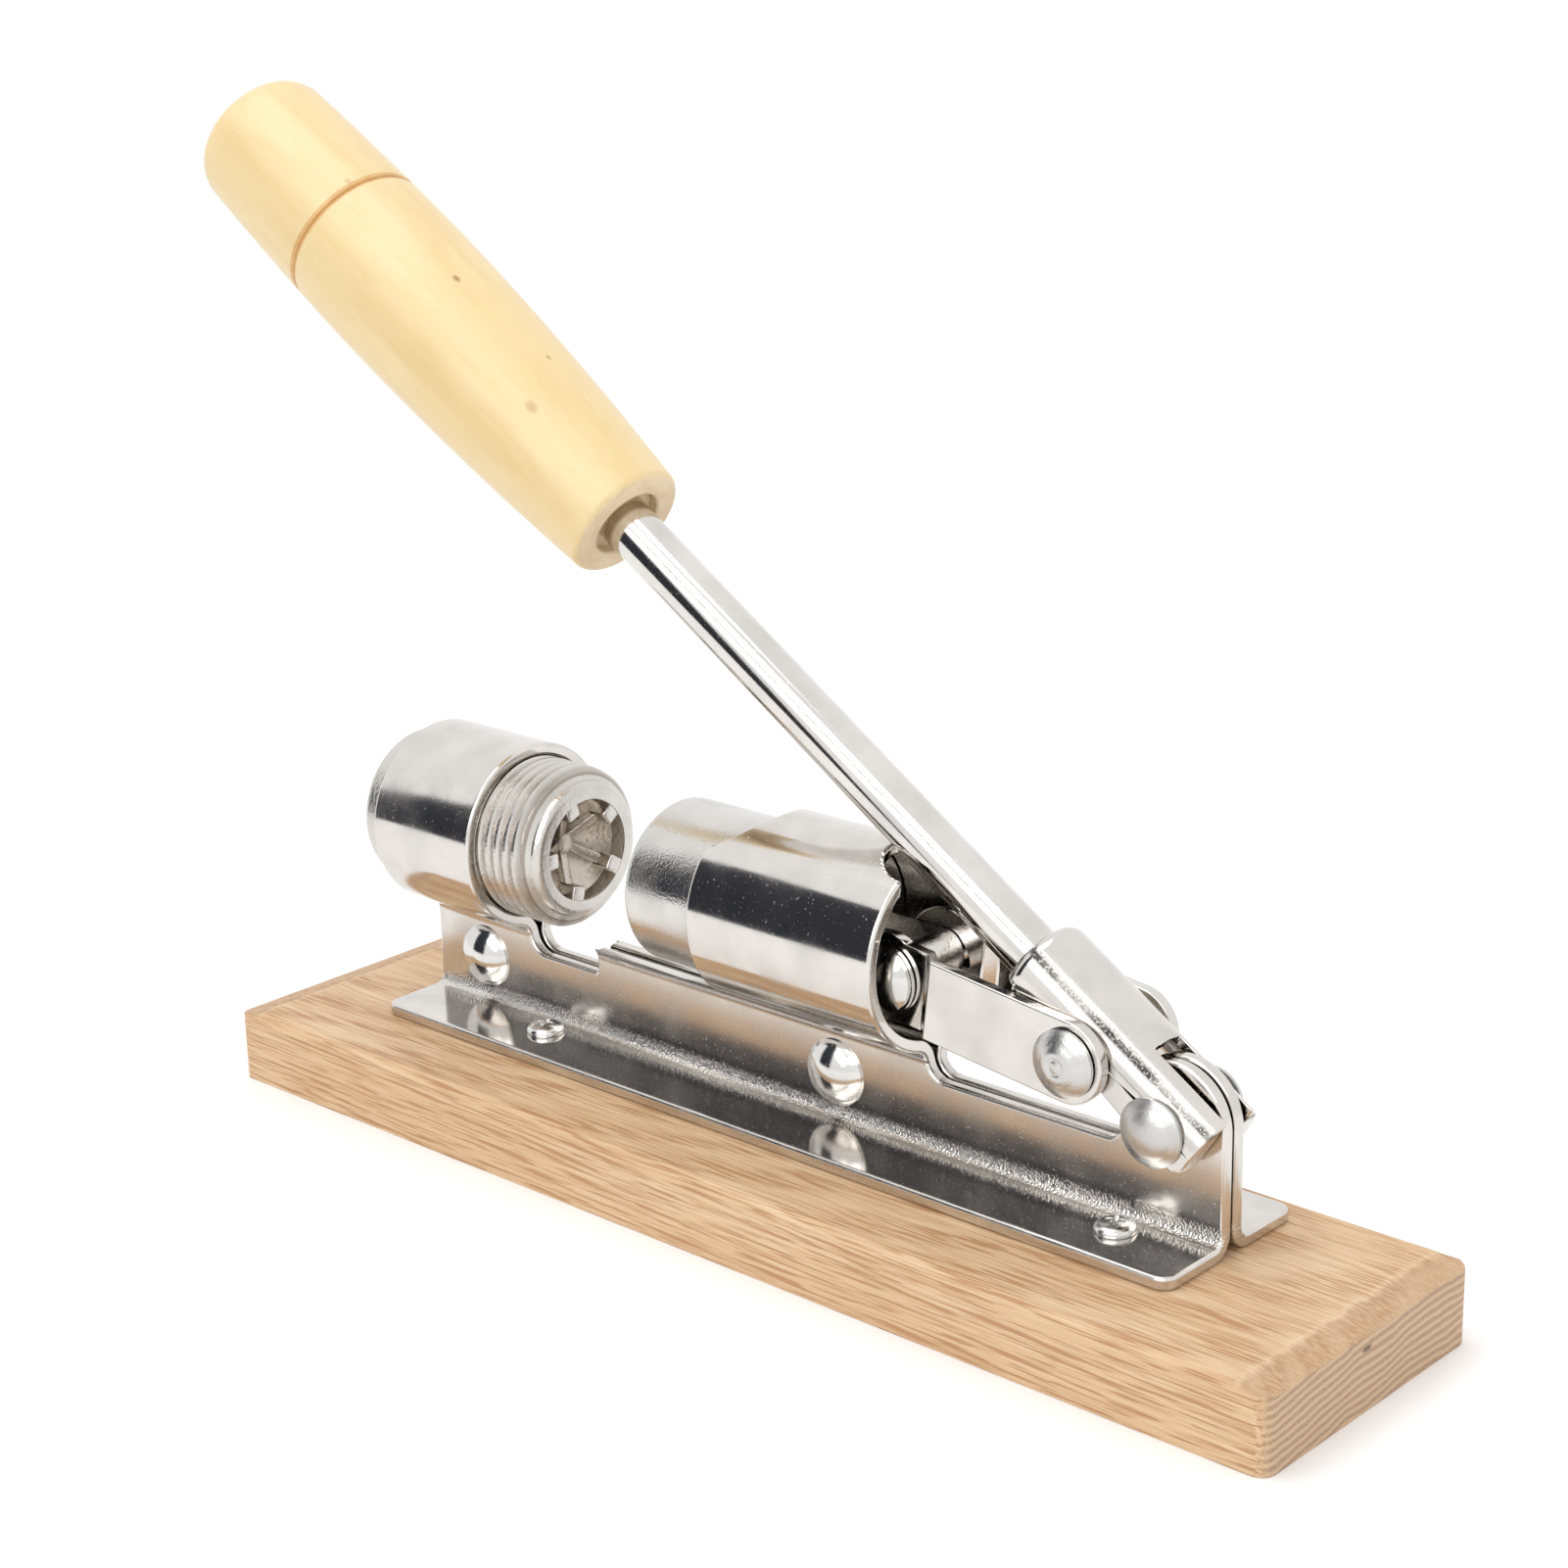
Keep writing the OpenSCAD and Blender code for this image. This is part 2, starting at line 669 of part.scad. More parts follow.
module ram_pin() {
    color("silver") on_base() translate([pin_x, 0, ram_pin_h])
        cross_rivet(ram_head_y, ram_pin_head_r, ram_pin_head_h);
}

module ram_washer(side) {
    color("lightgray") on_base() translate([pin_x, 0, ram_pin_h])
        side_ring(side, washer_r, shank_r + hold_fit, washer_y, ram_head_y);
}

// Link seen from the side. Its hole at the ram pin is wide enough for the pin's drift.
module link_outline() {
    difference() {
        union() {
            circle(r = link_w / 2);
            translate([0, -link_w / 2]) square([link_l, link_w]);
            translate([link_l, 0]) circle(r = link_eye_r);
        }
        circle(r = shank_r + turn_fit);
        translate([link_l, 0] + pin_drift / 2) circle(r = shank_r + pin_ease + norm(pin_drift) / 2);
    }
}

// Link seen from above: outside the yoke at one end, beside the ram's tail at the other
module link_plan() {
    crank_end = link_l - link_flat_l;
    crank_start = crank_end - link_crank_l;
    polygon([[-link_eye_r, link_out_y], [crank_start, link_out_y], [crank_end, link_in_y],
        [link_l + link_eye_r, link_in_y], [link_l + link_eye_r, link_in_y + link_t],
        [crank_end, link_in_y + link_t], [crank_start, link_out_y + link_t],
        [-link_eye_r, link_out_y + link_t]]);
}

module side_link(side) {
    color("gainsboro") on_links() intersection() {
        side_cut(2 * (link_out_y + link_t + over)) link_outline();
        linear_extrude(2 * link_eye_r + over, center = true) scale([1, -side]) link_plan();
    }
}

module link_rivet() {
    color("lightgray") on_lever() translate([link_pin_along, 0, -link_pin_drop])
        cross_rivet(link_head_y, rivet_head_r, rivet_head_h);
}

module pivot_rivet() {
    color("lightgray") on_lever() cross_rivet(yoke_r, rivet_head_r, rivet_head_h);
}

// Spacer between the ear and the yoke's wall, whose end follows the yoke's round back
module pivot_spacer(side) {
    color("silver") on_lever() intersection() {
        side_ring(side, spacer_r, shank_r + hold_fit, wall_out + face_gap, yoke_in);
        yoke_run(-yoke_tail, back_slot_end, yoke_in - hold_fit);
    }
}

// Yoke seen along the lever: round back over the rod, straight walls below
module yoke_section(r) {
    low = link_lobe_r + link_pin_drop + rod_lift + over;
    circle(r = r);
    translate([-r, -low]) square([2 * r, low]);
}

// Yoke's walls seen from the side, with lobes round the pivot and the link rivet
module yoke_side() {
    top = yoke_r + rod_lift + over;
    polygon([[-yoke_tail, top], [-yoke_tail, -tail_edge_drop / 2],
        [-yoke_tail + tail_edge_drop / 2, -tail_edge_drop],
        [0, -tail_edge_drop], [yoke_mouth, -mouth_edge_drop], [yoke_mouth, top]]);
    circle(r = pivot_lobe_r);
    translate([link_pin_along, -link_pin_drop]) circle(r = link_lobe_r);
}

// Section of the yoke, carried along the lever from one distance to another
module yoke_run(from, to, r) {
    translate([from, 0, rod_lift]) rotate([90, 0, 90]) linear_extrude(to - from) yoke_section(r);
}

module yoke() {
    slot_l = back_slot_end + yoke_tail + over;
    hollow_end = yoke_mouth - collar_l;
    hollow_start = yoke_t - yoke_tail;
    color("gainsboro") on_lever() difference() {
        intersection() {
            yoke_run(-yoke_tail, yoke_mouth, yoke_r);
            side_cut(2 * (yoke_r + over)) yoke_side();
            translate([0, 0, rod_lift]) along_x() mouth_blank();
        }
        yoke_run(hollow_start, hollow_end, yoke_in);
        translate([-yoke_tail - over, -back_slot_w / 2, -yoke_r]) cube([slot_l, back_slot_w, 3 * yoke_r]);
        translate([hollow_end - over, 0, rod_lift]) along_x()
            cylinder(r = rod_r + hold_fit, h = collar_l + 2 * over);
        cross_bar(shank_r + hold_fit, 2 * yoke_r + over);
        translate([link_pin_along, 0, -link_pin_drop]) cross_bar(shank_r + hold_fit, 2 * yoke_r + over);
    }
}

// Rounds the yoke's mouth and leaves the rest of its length alone
module mouth_blank() {
    wide = 2 * yoke_r;
    translate([0, 0, -yoke_tail - over]) cylinder(r = wide, h = yoke_mouth - mouth_round_r + yoke_tail + over);
    translate([0, 0, yoke_mouth - mouth_round_r]) {
        rotate_extrude() translate([yoke_r - mouth_round_r, 0]) circle(r = mouth_round_r);
        cylinder(r = yoke_r - mouth_round_r, h = mouth_round_r);
    }
}

module lever_rod() {
    rod_l = grip_start + socket_l - rod_start;
    color("gainsboro") on_lever() difference() {
        translate([rod_start, 0, rod_lift]) along_x() cylinder(r = rod_r, h = rod_l);
        translate([link_pin_along, 0, -link_pin_drop]) cross_bar(shank_r + hold_fit, 2 * rod_r + over);
    }
}

// Radius of the grip at a distance from its near end
swell_share = 1.8;
function grip_radius(s) = s < grip_belly
    ? grip_r - grip_near_slim * pow((grip_belly - s) / grip_belly, swell_share)
    : grip_r - grip_far_slim * pow((s - grip_belly) / (grip_l - grip_belly), swell_share);

// Points of the grip's curve between two distances
curve_steps = 8;
function grip_curve(from, to) = [for (i = [0 : curve_steps])
    let (s = from + (to - from) * i / curve_steps) [grip_radius(s), s]];

// Points of a rounded edge at distance end, on the side where dir points
round_steps = 4;
function grip_edge(end, r, dir) = [for (i = [0 : round_steps])
    let (a = dir > 0 ? 90 * i / round_steps : 90 - 90 * i / round_steps)
    [grip_radius(end - dir * r) - r + r * cos(a), end - dir * r + dir * r * sin(a)]];

module handle_grip() {
    near_curve = grip_curve(grip_near_round, groove_at - groove_w / 2);
    far_curve = grip_curve(groove_at + groove_w / 2, grip_l - grip_far_round);
    outline = concat([[0, 0]], grip_edge(0, grip_near_round, -1), near_curve,
        [[grip_radius(groove_at) - groove_d, groove_at]], far_curve,
        grip_edge(grip_l, grip_far_round, 1), [[0, grip_l]]);
    color("khaki") on_lever() translate([grip_start, 0, rod_lift]) along_x() difference() {
        rotate_extrude() polygon(outline);
        translate([0, 0, -over]) cylinder(r = recess_r, h = recess_d + over);
        translate([0, 0, -over]) cylinder(r = rod_r + hold_fit, h = socket_l + over);
    }
}

wooden_base();
body_shell();
clamp_rivet(clamp_front_x);  // front_clamp_rivet
clamp_rivet(clamp_rear_x);  // rear_clamp_rivet
base_screw(screw_front_x, -1);  // near_front_screw
base_screw(screw_front_x, 1);  // far_front_screw
base_screw(screw_rear_x, -1);  // near_rear_screw
base_screw(screw_rear_x, 1);  // far_rear_screw
anvil_barrel();
anvil_plug();
ram();
ram_pin();
ram_washer(-1);  // near_ram_washer
ram_washer(1);  // far_ram_washer
side_link(-1);  // near_link
side_link(1);  // far_link
link_rivet();
yoke();
pivot_spacer(1);  // near_pivot_spacer
pivot_spacer(-1);  // far_pivot_spacer
pivot_rivet();
lever_rod();
handle_grip();
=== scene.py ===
# %% [markdown]
# A lever nutcracker press: a folded nickel-plated body on an oak board, with a screw-in
# anvil cup, a sliding ram and a wooden-handled lever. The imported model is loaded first
# and stays fixed, so every new piece is placed from its boxes and joints and never by eye.

# %% Load the frame
import json
import math

import bmesh
import bpy
from mathutils import Matrix, Vector


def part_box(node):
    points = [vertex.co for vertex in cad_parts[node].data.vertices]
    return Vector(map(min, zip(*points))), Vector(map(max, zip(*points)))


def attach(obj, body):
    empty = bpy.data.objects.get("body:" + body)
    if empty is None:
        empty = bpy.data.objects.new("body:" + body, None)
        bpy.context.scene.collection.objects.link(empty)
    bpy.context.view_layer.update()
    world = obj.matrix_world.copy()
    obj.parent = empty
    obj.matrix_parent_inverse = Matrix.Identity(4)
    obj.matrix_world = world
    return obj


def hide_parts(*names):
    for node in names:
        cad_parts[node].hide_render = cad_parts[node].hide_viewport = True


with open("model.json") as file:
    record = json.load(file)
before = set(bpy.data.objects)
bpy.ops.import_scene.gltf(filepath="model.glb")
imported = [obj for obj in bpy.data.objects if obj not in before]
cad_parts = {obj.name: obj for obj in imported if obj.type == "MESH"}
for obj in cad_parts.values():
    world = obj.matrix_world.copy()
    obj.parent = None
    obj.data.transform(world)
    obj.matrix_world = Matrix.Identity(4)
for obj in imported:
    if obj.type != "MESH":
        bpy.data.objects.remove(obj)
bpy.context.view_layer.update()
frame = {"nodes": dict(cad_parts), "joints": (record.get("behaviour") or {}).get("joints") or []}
mm = 0.001
joints = {joint["name"]: joint for joint in frame["joints"]}
pivot = Vector(joints["lever_swing"]["pos_m"])
board_low, board_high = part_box("wooden_base")

# %% [markdown]
# The lever lies at a slant, so its pieces are placed along it: a distance from the pivot
# towards the grip, a height square to the lever and a distance across it. One helper
# turns such a place into a point, which is easier to read than sines in every line.

# %% Places along the lever
lever_rise = math.radians(33.07)
rod_lift = 0.93 * mm
lever_way = Vector((-math.cos(lever_rise), 0, math.sin(lever_rise)))
lever_up = Vector((math.sin(lever_rise), 0, math.cos(lever_rise)))
across = Vector((0, 1, 0))
lever_turn = (0, lever_rise, 0)


def on_lever(distance, height=0.0):
    """A point in the lever's middle plane."""
    return pivot + lever_way * distance + lever_up * height


print("The lever rises at", round(math.degrees(lever_rise), 1), "degrees")

# %% [markdown]
# The camera stands where the photographer's stood. Its place and lens were worked out
# from the board's edges, so the render and the photograph can be laid over each other.
# The picture is square, so the sensor width is the side that the lens is measured on.

# %% Camera
camera_data = bpy.data.cameras.new("studio_camera")
camera = bpy.data.objects.new("studio_camera", camera_data)
bpy.context.scene.collection.objects.link(camera)
bpy.context.scene.camera = camera
camera_data.sensor_width = 36
camera_data.lens = 71.607
camera_data.clip_start = 0.01
camera_data.clip_end = 20
camera_place = Vector((0.359072, -0.388678, 0.250118))
camera_yaw, camera_pitch, camera_roll = -0.74553, 0.310912, -0.0237114
view_way = Vector((math.sin(camera_yaw) * math.cos(camera_pitch),
                   math.cos(camera_yaw) * math.cos(camera_pitch), -math.sin(camera_pitch)))
level_right = view_way.cross(Vector((0, 0, 1))).normalized()
level_up = level_right.cross(view_way)
camera_right = level_right * math.cos(camera_roll) + level_up * math.sin(camera_roll)
camera_up = level_up * math.cos(camera_roll) - level_right * math.sin(camera_roll)
turn = Matrix((camera_right, camera_up, -view_way)).transposed()
camera.matrix_world = Matrix.Translation(camera_place) @ turn.to_4x4()
print("The camera stands", round(camera.location.length, 3), "m from the board's middle")

# %% [markdown]
# The press stands on white paper. A sheet of the studio is a plain plane, which isn't a
# piece of the press.

# %% Floor
scene = bpy.context.scene
scene.view_settings.view_transform = "Standard"


def flat_material(name, colour, glow=0.0):
    """A matt material, or a glowing one."""
    material = bpy.data.materials.new(name)
    material.use_nodes = True
    shader = material.node_tree.nodes["Principled BSDF"]
    shader.inputs["Base Color"].default_value = (*colour, 1)
    shader.inputs["Roughness"].default_value = 0.9
    shader.inputs["Emission Color"].default_value = (*colour, 1)
    shader.inputs["Emission Strength"].default_value = glow
    return material


def stage_plane(name, size, location, rotation=(0, 0, 0)):
    """A flat sheet of the studio, which isn't part of the press."""
    bpy.ops.object.select_all(action="DESELECT")
    bpy.ops.mesh.primitive_plane_add(size=1, location=location, rotation=rotation)
    plane = bpy.context.object
    plane.name = name
    plane.scale = (*size, 1)
    return plane


floor_size = (12, 12)
floor = stage_plane("studio_floor", floor_size, (0, 0, board_low.z))
floor.data.materials.append(flat_material("white_paper", (0.93, 0.93, 0.93)))
print("The floor lies at", round(floor.location.z / mm, 1), "mm")

# %% [markdown]
# Bright plating has hardly a colour of its own: it shows the room. A white tent with two
# dark cards in it gives the clean white sides, the broad dark bands on the tubes and the
# thin line on the rod, and a bright panel lights that line's two sides. The cards are
# seen in reflections alone, so they darken no view of the part.

# %% Light tent and cards
tent_glow = 1.08
panel_glow = 1.7
black_card = flat_material("black_card", (0.012, 0.014, 0.022))
bright_card = flat_material("bright_card", (1, 1, 1), panel_glow)


def studio_card(name, material, size, location, rotation):
    """A card that shows in reflections alone."""
    card = stage_plane(name, size, location, rotation)
    card.data.materials.append(material)
    card.visible_camera = False
    card.visible_diffuse = False
    card.visible_shadow = False


flag_turn = (math.radians(90), 0, math.radians(-41))
studio_card("dark_flag", black_card, (0.347, 0.56), (-0.3747, -0.4559, 0.28), flag_turn)
rod_middle = on_lever(90 * mm)
rod_glint = Vector((-0.039, -0.777, 0.627))
strip_turn = Matrix((lever_way, rod_glint.cross(lever_way), rod_glint)).transposed().to_euler()
studio_card("dark_strip", black_card, (0.7, 0.045), rod_middle + 0.8 * rod_glint, strip_turn)
studio_card("bright_panel", bright_card, (1, 0.9), rod_middle + 1.1 * rod_glint, strip_turn)

world = bpy.data.worlds.new("light_tent")
scene.world = world
world.use_nodes = True
tent = world.node_tree.nodes["Background"]
tent.inputs["Color"].default_value = (1, 1, 1, 1)
tent.inputs["Strength"].default_value = tent_glow
print("The tent glows at", tent_glow, "and the panel at", panel_glow)

# %% [markdown]
# Two soft boxes give the wood its gentle modelling. They are weak, because the tent does
# most of the lighting, and large, so that no hard shadow or hot spot appears.

# %% Soft boxes


def soft_box(name, location, size, power):
    """A square area light that looks at the press."""
    data = bpy.data.lights.new(name, "AREA")
    data.size = size
    data.energy = power
    lamp = bpy.data.objects.new(name, data)
    scene.collection.objects.link(lamp)
    lamp.location = location
    lamp.rotation_euler = (-Vector(location)).to_track_quat("-Z", "Y").to_euler()
    print(name, "gives", power, "W")


soft_box("top_box", (-0.2, -0.15, 0.9), 0.5, 1.8)
soft_box("side_box", (0.5, -0.75, 0.5), 0.35, 1)

# %% [markdown]
# Every finish starts from the Principled shader, with noise on Object coordinates for its
# unevenness. Object coordinates are metres on the part itself, so a scratch or a pore has
# its real size and moves with its piece. The helper class grows in three steps, and this
# first one makes the material, adds nodes to it and stacks its bumps.

# %% Helper for shader nodes


class ShaderNodes:
    """A Principled material and short ways to add nodes to it."""

    def __init__(self, name, **plain):
        self.material = bpy.data.materials.new(name)
        self.material.use_nodes = True
        self.tree = self.material.node_tree
        self.shader = self.tree.nodes["Principled BSDF"]
        coordinates = self.tree.nodes.new("ShaderNodeTexCoord").outputs
        self.place = coordinates["Object"]
        self.facing = coordinates["Normal"]
        self.last_bump = None
        for socket, value in plain.items():
            self.shader.inputs[socket.replace("_", " ")].default_value = value

    def node(self, kind, links=(), **values):
        """A new node with its sockets linked or set."""
        made = self.tree.nodes.new("ShaderNode" + kind)
        for socket, value in values.items():
            made.inputs[socket.replace("_", " ")].default_value = value
        for socket, source in dict(links).items():
            self.tree.links.new(source, made.inputs[socket])
        return made

    def drive(self, socket, source):
        """Links a source to one of the shader's sockets."""
        self.tree.links.new(source, self.shader.inputs[socket])

    def bump(self, height, depth):
        """Adds relief: height from 0 to 1 stands for depth in metres."""
        made = self.node("Bump", {"Height": height}, Strength=1.0, Distance=depth)
        if self.last_bump:
            self.tree.links.new(self.last_bump, made.inputs["Normal"])
        self.last_bump = made.outputs[0]
        self.drive("Normal", self.last_bump)


# %% [markdown]
# Masks and colours are sums of such nodes. Short names for adding, multiplying and
# mixing let a finish be read almost like the sentence that describes it.

# %% Helper for sums and colours


class ShaderSums(ShaderNodes):
    """Values and colours worked out from other values."""

    def between(self, source, low, high, to_low=0.0, to_high=1.0):
        """Source spread from low..high to to_low..to_high, and held there."""
        made = self.node("MapRange", {"Value": source})
        ends = {"From Min": low, "From Max": high, "To Min": to_low, "To Max": to_high}
        for socket, value in ends.items():
            made.inputs[socket].default_value = value
        return made.outputs[0]

    def maths(self, kind, first, second=0.0):
        """Two values joined by an operation."""
        made = self.tree.nodes.new("ShaderNodeMath")
        made.operation = kind
        for socket, value in zip(made.inputs, (first, second)):
            if isinstance(value, (int, float)):
                socket.default_value = value
            else:
                self.tree.links.new(value, socket)
        return made.outputs[0]

    def plus(self, first, second):
        """The sum of two values."""
        return self.maths("ADD", first, second)

    def times(self, first, second):
        """Two values multiplied, which for two masks is where both hold."""
        return self.maths("MULTIPLY", first, second)

    def mixed(self, share, first, second):
        """A colour from first to second as share goes from 0 to 1."""
        made = self.tree.nodes.new("ShaderNodeMix")
        made.data_type = "RGBA"
        self.tree.links.new(share, made.inputs[0])
        for index, value in ((6, first), (7, second)):
            if isinstance(value, tuple):
                made.inputs[index].default_value = (*value, 1)
            else:
                self.tree.links.new(value, made.inputs[index])
        return made.outputs[2]


# %% [markdown]
# Patterns start from places on the piece. A Mapping node draws a pattern out along the
# grain or turns it to the lever, and a noise fills it with spots of a known size.

# %% Helper for places and patterns


class Finish(ShaderSums):
    """A finish for one kind of surface of the press."""

    def stretched(self, share, origin=(0, 0, 0), turned=(0, 0, 0)):
        """Object coordinates drawn out by share along each axis of a turned frame."""
        made = self.node("Mapping", {"Vector": self.place})
        made.vector_type = "TEXTURE"
        made.inputs["Location"].default_value = origin
        made.inputs["Rotation"].default_value = turned
        made.inputs["Scale"].default_value = share
        return made.outputs[0]

    def noise(self, size, detail, place=None, distortion=0.0):
        """Noise whose spots are about as large as size."""
        made = self.node("TexNoise", {"Vector": place or self.place}, Scale=1 / size,
                         Detail=detail, Distortion=distortion)
        return made.outputs["Fac"]

    def parts(self, vector):
        """The X, Y and Z of a vector."""
        return self.node("SeparateXYZ", {"Vector": vector}).outputs

    def away(self, place):
        """How far a place lies from the origin of its frame."""
        made = self.node("VectorMath", {0: place})
        made.operation = "LENGTH"
        return made.outputs["Value"]


helpers = [name for name in dir(Finish) if not name.startswith("_")]
print("A finish has", len(helpers), "helpers:", *helpers)

# %% [markdown]
# Nickel plate is bright and slightly warm. Pressed sheet is never quite flat, so a wide
# and shallow bump bends its reflections, and handling leaves faint specks and smears that
# roughen the mirror here and there. Cast and forged pieces get a coarser grain.

# %% Metal finishes
cloud_size = 9 * mm
speck_size = 0.45 * mm
dent_size = 16 * mm


def nickel(name, colour, mirror, smear, wave, pits, grain):
    """Plated metal: mirror is its clean roughness, and smear is what grime and wear add.

    The depths of wave and pits and the size of a grain are in millimetres.
    """
    made = Finish(name, Metallic=1.0)
    cloud = made.noise(cloud_size, 4)
    specks = made.between(made.noise(speck_size, 2), 0.68, 0.74, 0, 0.3)
    smudge = made.between(cloud, 0.45, 0.75, 0, smear)
    made.rough = made.plus(made.plus(smudge, specks), mirror)
    made.drive("Roughness", made.rough)
    darker = tuple(0.82 * part for part in colour)
    made.tone = made.mixed(made.between(cloud, 0.35, 0.8), colour, darker)
    made.drive("Base Color", made.tone)
    made.bump(made.noise(dent_size, 1), wave * mm)
    made.bump(made.noise(grain * mm, 3), pits * mm)
    return made


# After the name and the colour: mirror, smear, wave, pits and grain.
sheet_metal = nickel("nickel_sheet", (0.71, 0.68, 0.645), 0.1, 0.08, 0.08, 0.004, 0.4)
yoke_metal = nickel("nickel_yoke", (0.70, 0.67, 0.635), 0.12, 0.1, 0.08, 0.006, 0.4)
rod_metal = nickel("nickel_rod", (0.73, 0.705, 0.675), 0.08, 0.05, 0.03, 0.003, 0.25)
rivet_metal = nickel("rivet_nickel", (0.72, 0.705, 0.68), 0.09, 0.1, 0.12, 0.01, 0.25)
screw_metal = nickel("screw_zinc", (0.72, 0.71, 0.69), 0.13, 0.15, 0.05, 0.02, 0.25)
cast_metal = nickel("cast_nickel", (0.66, 0.635, 0.60), 0.2, 0.18, 0.3, 0.07, 0.7)
ram_metal = nickel("ram_nickel", (0.67, 0.65, 0.62), 0.16, 0.15, 0.2, 0.05, 0.5)
dull_metal = nickel("dull_rivet", (0.62, 0.615, 0.60), 0.27, 0.15, 0.12, 0.04, 0.5)
cup_metal = nickel("cup_cast", (0.58, 0.53, 0.465), 0.26, 0.15, 0.3, 0.12, 0.8)
print("Made", len(bpy.data.materials), "materials so far")

# %% [markdown]
# Plating on the inside of a tight bend stays matt and pebbled, because the stretched
# sheet is rough there and no polishing wheel reaches it. On the body that is a narrow
# strip between wall and flange, so a mask keeps the pebbles between two heights.

# %% Pebbled bend of the sheet
bend_low = board_high.z + 2.6 * mm
bend_high = board_high.z + 5 * mm
pebble_size = 0.4 * mm
pebble_depth = 0.13 * mm
sheet_up = sheet_metal.parts(sheet_metal.place)["Z"]
above_flange = sheet_metal.between(sheet_up, bend_low - 0.1 * mm, bend_low + 0.2 * mm)
below_wall = sheet_metal.between(sheet_up, bend_high - 0.6 * mm, bend_high + 0.8 * mm, 1, 0)
in_bend = sheet_metal.times(above_flange, below_wall)
sheet_metal.bump(sheet_metal.times(in_bend, sheet_metal.noise(pebble_size, 0)), pebble_depth)
print("The pebbled bend is", round((bend_high - bend_low) / mm, 1), "mm high")

# %% [markdown]
# The other parts of the sheet differ in how well they were polished. The wall is satin up
# to the tube, and the flange is scuffed where hands and tools reached it. Each part adds
# its own share of roughness to the clean plating, again by its height.

# %% Satin wall and scuffed flange of the sheet
wall_top = 36 * mm
wall_satin = 0.1
bend_matt = 0.14
scuff_size = 5 * mm
on_flange = sheet_metal.between(sheet_up, bend_low - 0.3 * mm, bend_low - 0.1 * mm, 1, 0)
scuffs = sheet_metal.between(sheet_metal.noise(scuff_size, 5), 0.35, 0.7, 0.07, 0.2)
scuffed = sheet_metal.plus(sheet_metal.rough, sheet_metal.times(on_flange, scuffs))
above_bend = sheet_metal.between(sheet_up, bend_high, bend_high + 2 * mm, 0, wall_satin)
below_tube = sheet_metal.between(sheet_up, wall_top - 3 * mm, wall_top, 1, 0)
satin = sheet_metal.plus(scuffed, sheet_metal.times(above_bend, below_tube))
matt = sheet_metal.plus(satin, sheet_metal.times(in_bend, bend_matt))
sheet_metal.drive("Roughness", matt)
print("The satin wall reaches up to", round(wall_top / mm, 1), "mm")

# %% [markdown]
# The yoke is bent round a narrow former. Where the back turns into the walls, the bend
# shows a dark grainy line, painted here as a dark reflection with a little relief. The line
# keeps one height above the yoke's axis, so a band of that height marks it on both
# shoulders, and noise breaks it up.

# %% Painted dark reflection on the bend of the yoke
bend_line_height = 5.4 * mm
bend_line_relief = 0.06 * mm
dark_bend_reflection_colour = (0.03, 0.027, 0.025)
yoke_frame = yoke_metal.stretched((1, 1, 1), tuple(on_lever(0, rod_lift)), lever_turn)
over_bend_line = yoke_metal.maths("SUBTRACT", yoke_metal.parts(yoke_frame)["Z"], bend_line_height)
off_bend_line = yoke_metal.maths("ABSOLUTE", over_bend_line)
bend_line_band = yoke_metal.between(off_bend_line, 0.3 * mm, 0.9 * mm, 1, 0)
bend_line_strength = yoke_metal.between(yoke_metal.noise(7 * mm, 1), 0.4, 0.6, 0.65, 1)
bend_line_grain = yoke_metal.between(yoke_metal.noise(0.4 * mm, 2), 0.36, 0.5, 0.55, 1)
painted_bend_reflection = yoke_metal.times(yoke_metal.times(bend_line_strength, bend_line_band), bend_line_grain)
# The dark line on the bend is a painted reflection, mixed into the plating's colour.
yoke_metal.drive("Base Color", yoke_metal.mixed(painted_bend_reflection, yoke_metal.tone, dark_bend_reflection_colour))
yoke_metal.bump(painted_bend_reflection, bend_line_relief)
print("The painted dark bend line lies", round(bend_line_height / mm, 1), "mm above the yoke's axis")

# %% [markdown]
# The grooves of the anvil's thread are coloured darker. The groove is found by its
# distance from the anvil's axis, so the darker colour follows the thread by itself.
# Drawn out a million times, the direction along the axis no longer counts.

# %% Darker grooves of the anvil's thread
barrel_low, barrel_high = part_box("anvil_barrel")
barrel_axis = (0, pivot.y, (barrel_low.z + barrel_high.z) / 2)
groove_low, groove_high = 14.6 * mm, 15.7 * mm
groove_dark_colour = (0.25, 0.20, 0.16)
drawn_out = 1e6
from_axis = cast_metal.away(cast_metal.stretched((drawn_out, 1, 1), barrel_axis))
in_groove = cast_metal.between(from_axis, groove_low, groove_high, 0.75, 0)
outside_nose = cast_metal.between(from_axis, groove_low - 0.3 * mm, groove_low - 0.1 * mm)
# This mask colours the grooves darker.
groove_darkening = cast_metal.times(in_groove, outside_nose)
cast_metal.drive("Base Color", cast_metal.mixed(groove_darkening, cast_metal.tone, groove_dark_colour))
print("The darker colour lies up to", round(groove_high / mm, 1), "mm from the anvil's axis")

# %% [markdown]
# Oak shows rows of long brown pores between paler bands, one row for each year's ring.
# Here the rings are flat arcs that sink towards the near side and slope a little along
# the board. One ring number, worked out from the place, gives the lines on the sides,
# the broad figure on the top and the dark arcs on the end faces, all of them in line.

# %% Year rings of the oak
oak = Finish("oak", Roughness=0.5)
ring_gap = 1.55 * mm
ring_crown_y = 18 * mm
ring_sink = 1.9
ring_slope = 0.045


def along_grain(size, detail, stretch, low, high, to_low=0.0, to_high=1.0):
    """Oak noise drawn out along the board, and spread between two values."""
    spots = oak.noise(size, detail, oak.stretched((stretch, 1, 1)))
    return oak.between(spots, low, high, to_low, to_high)


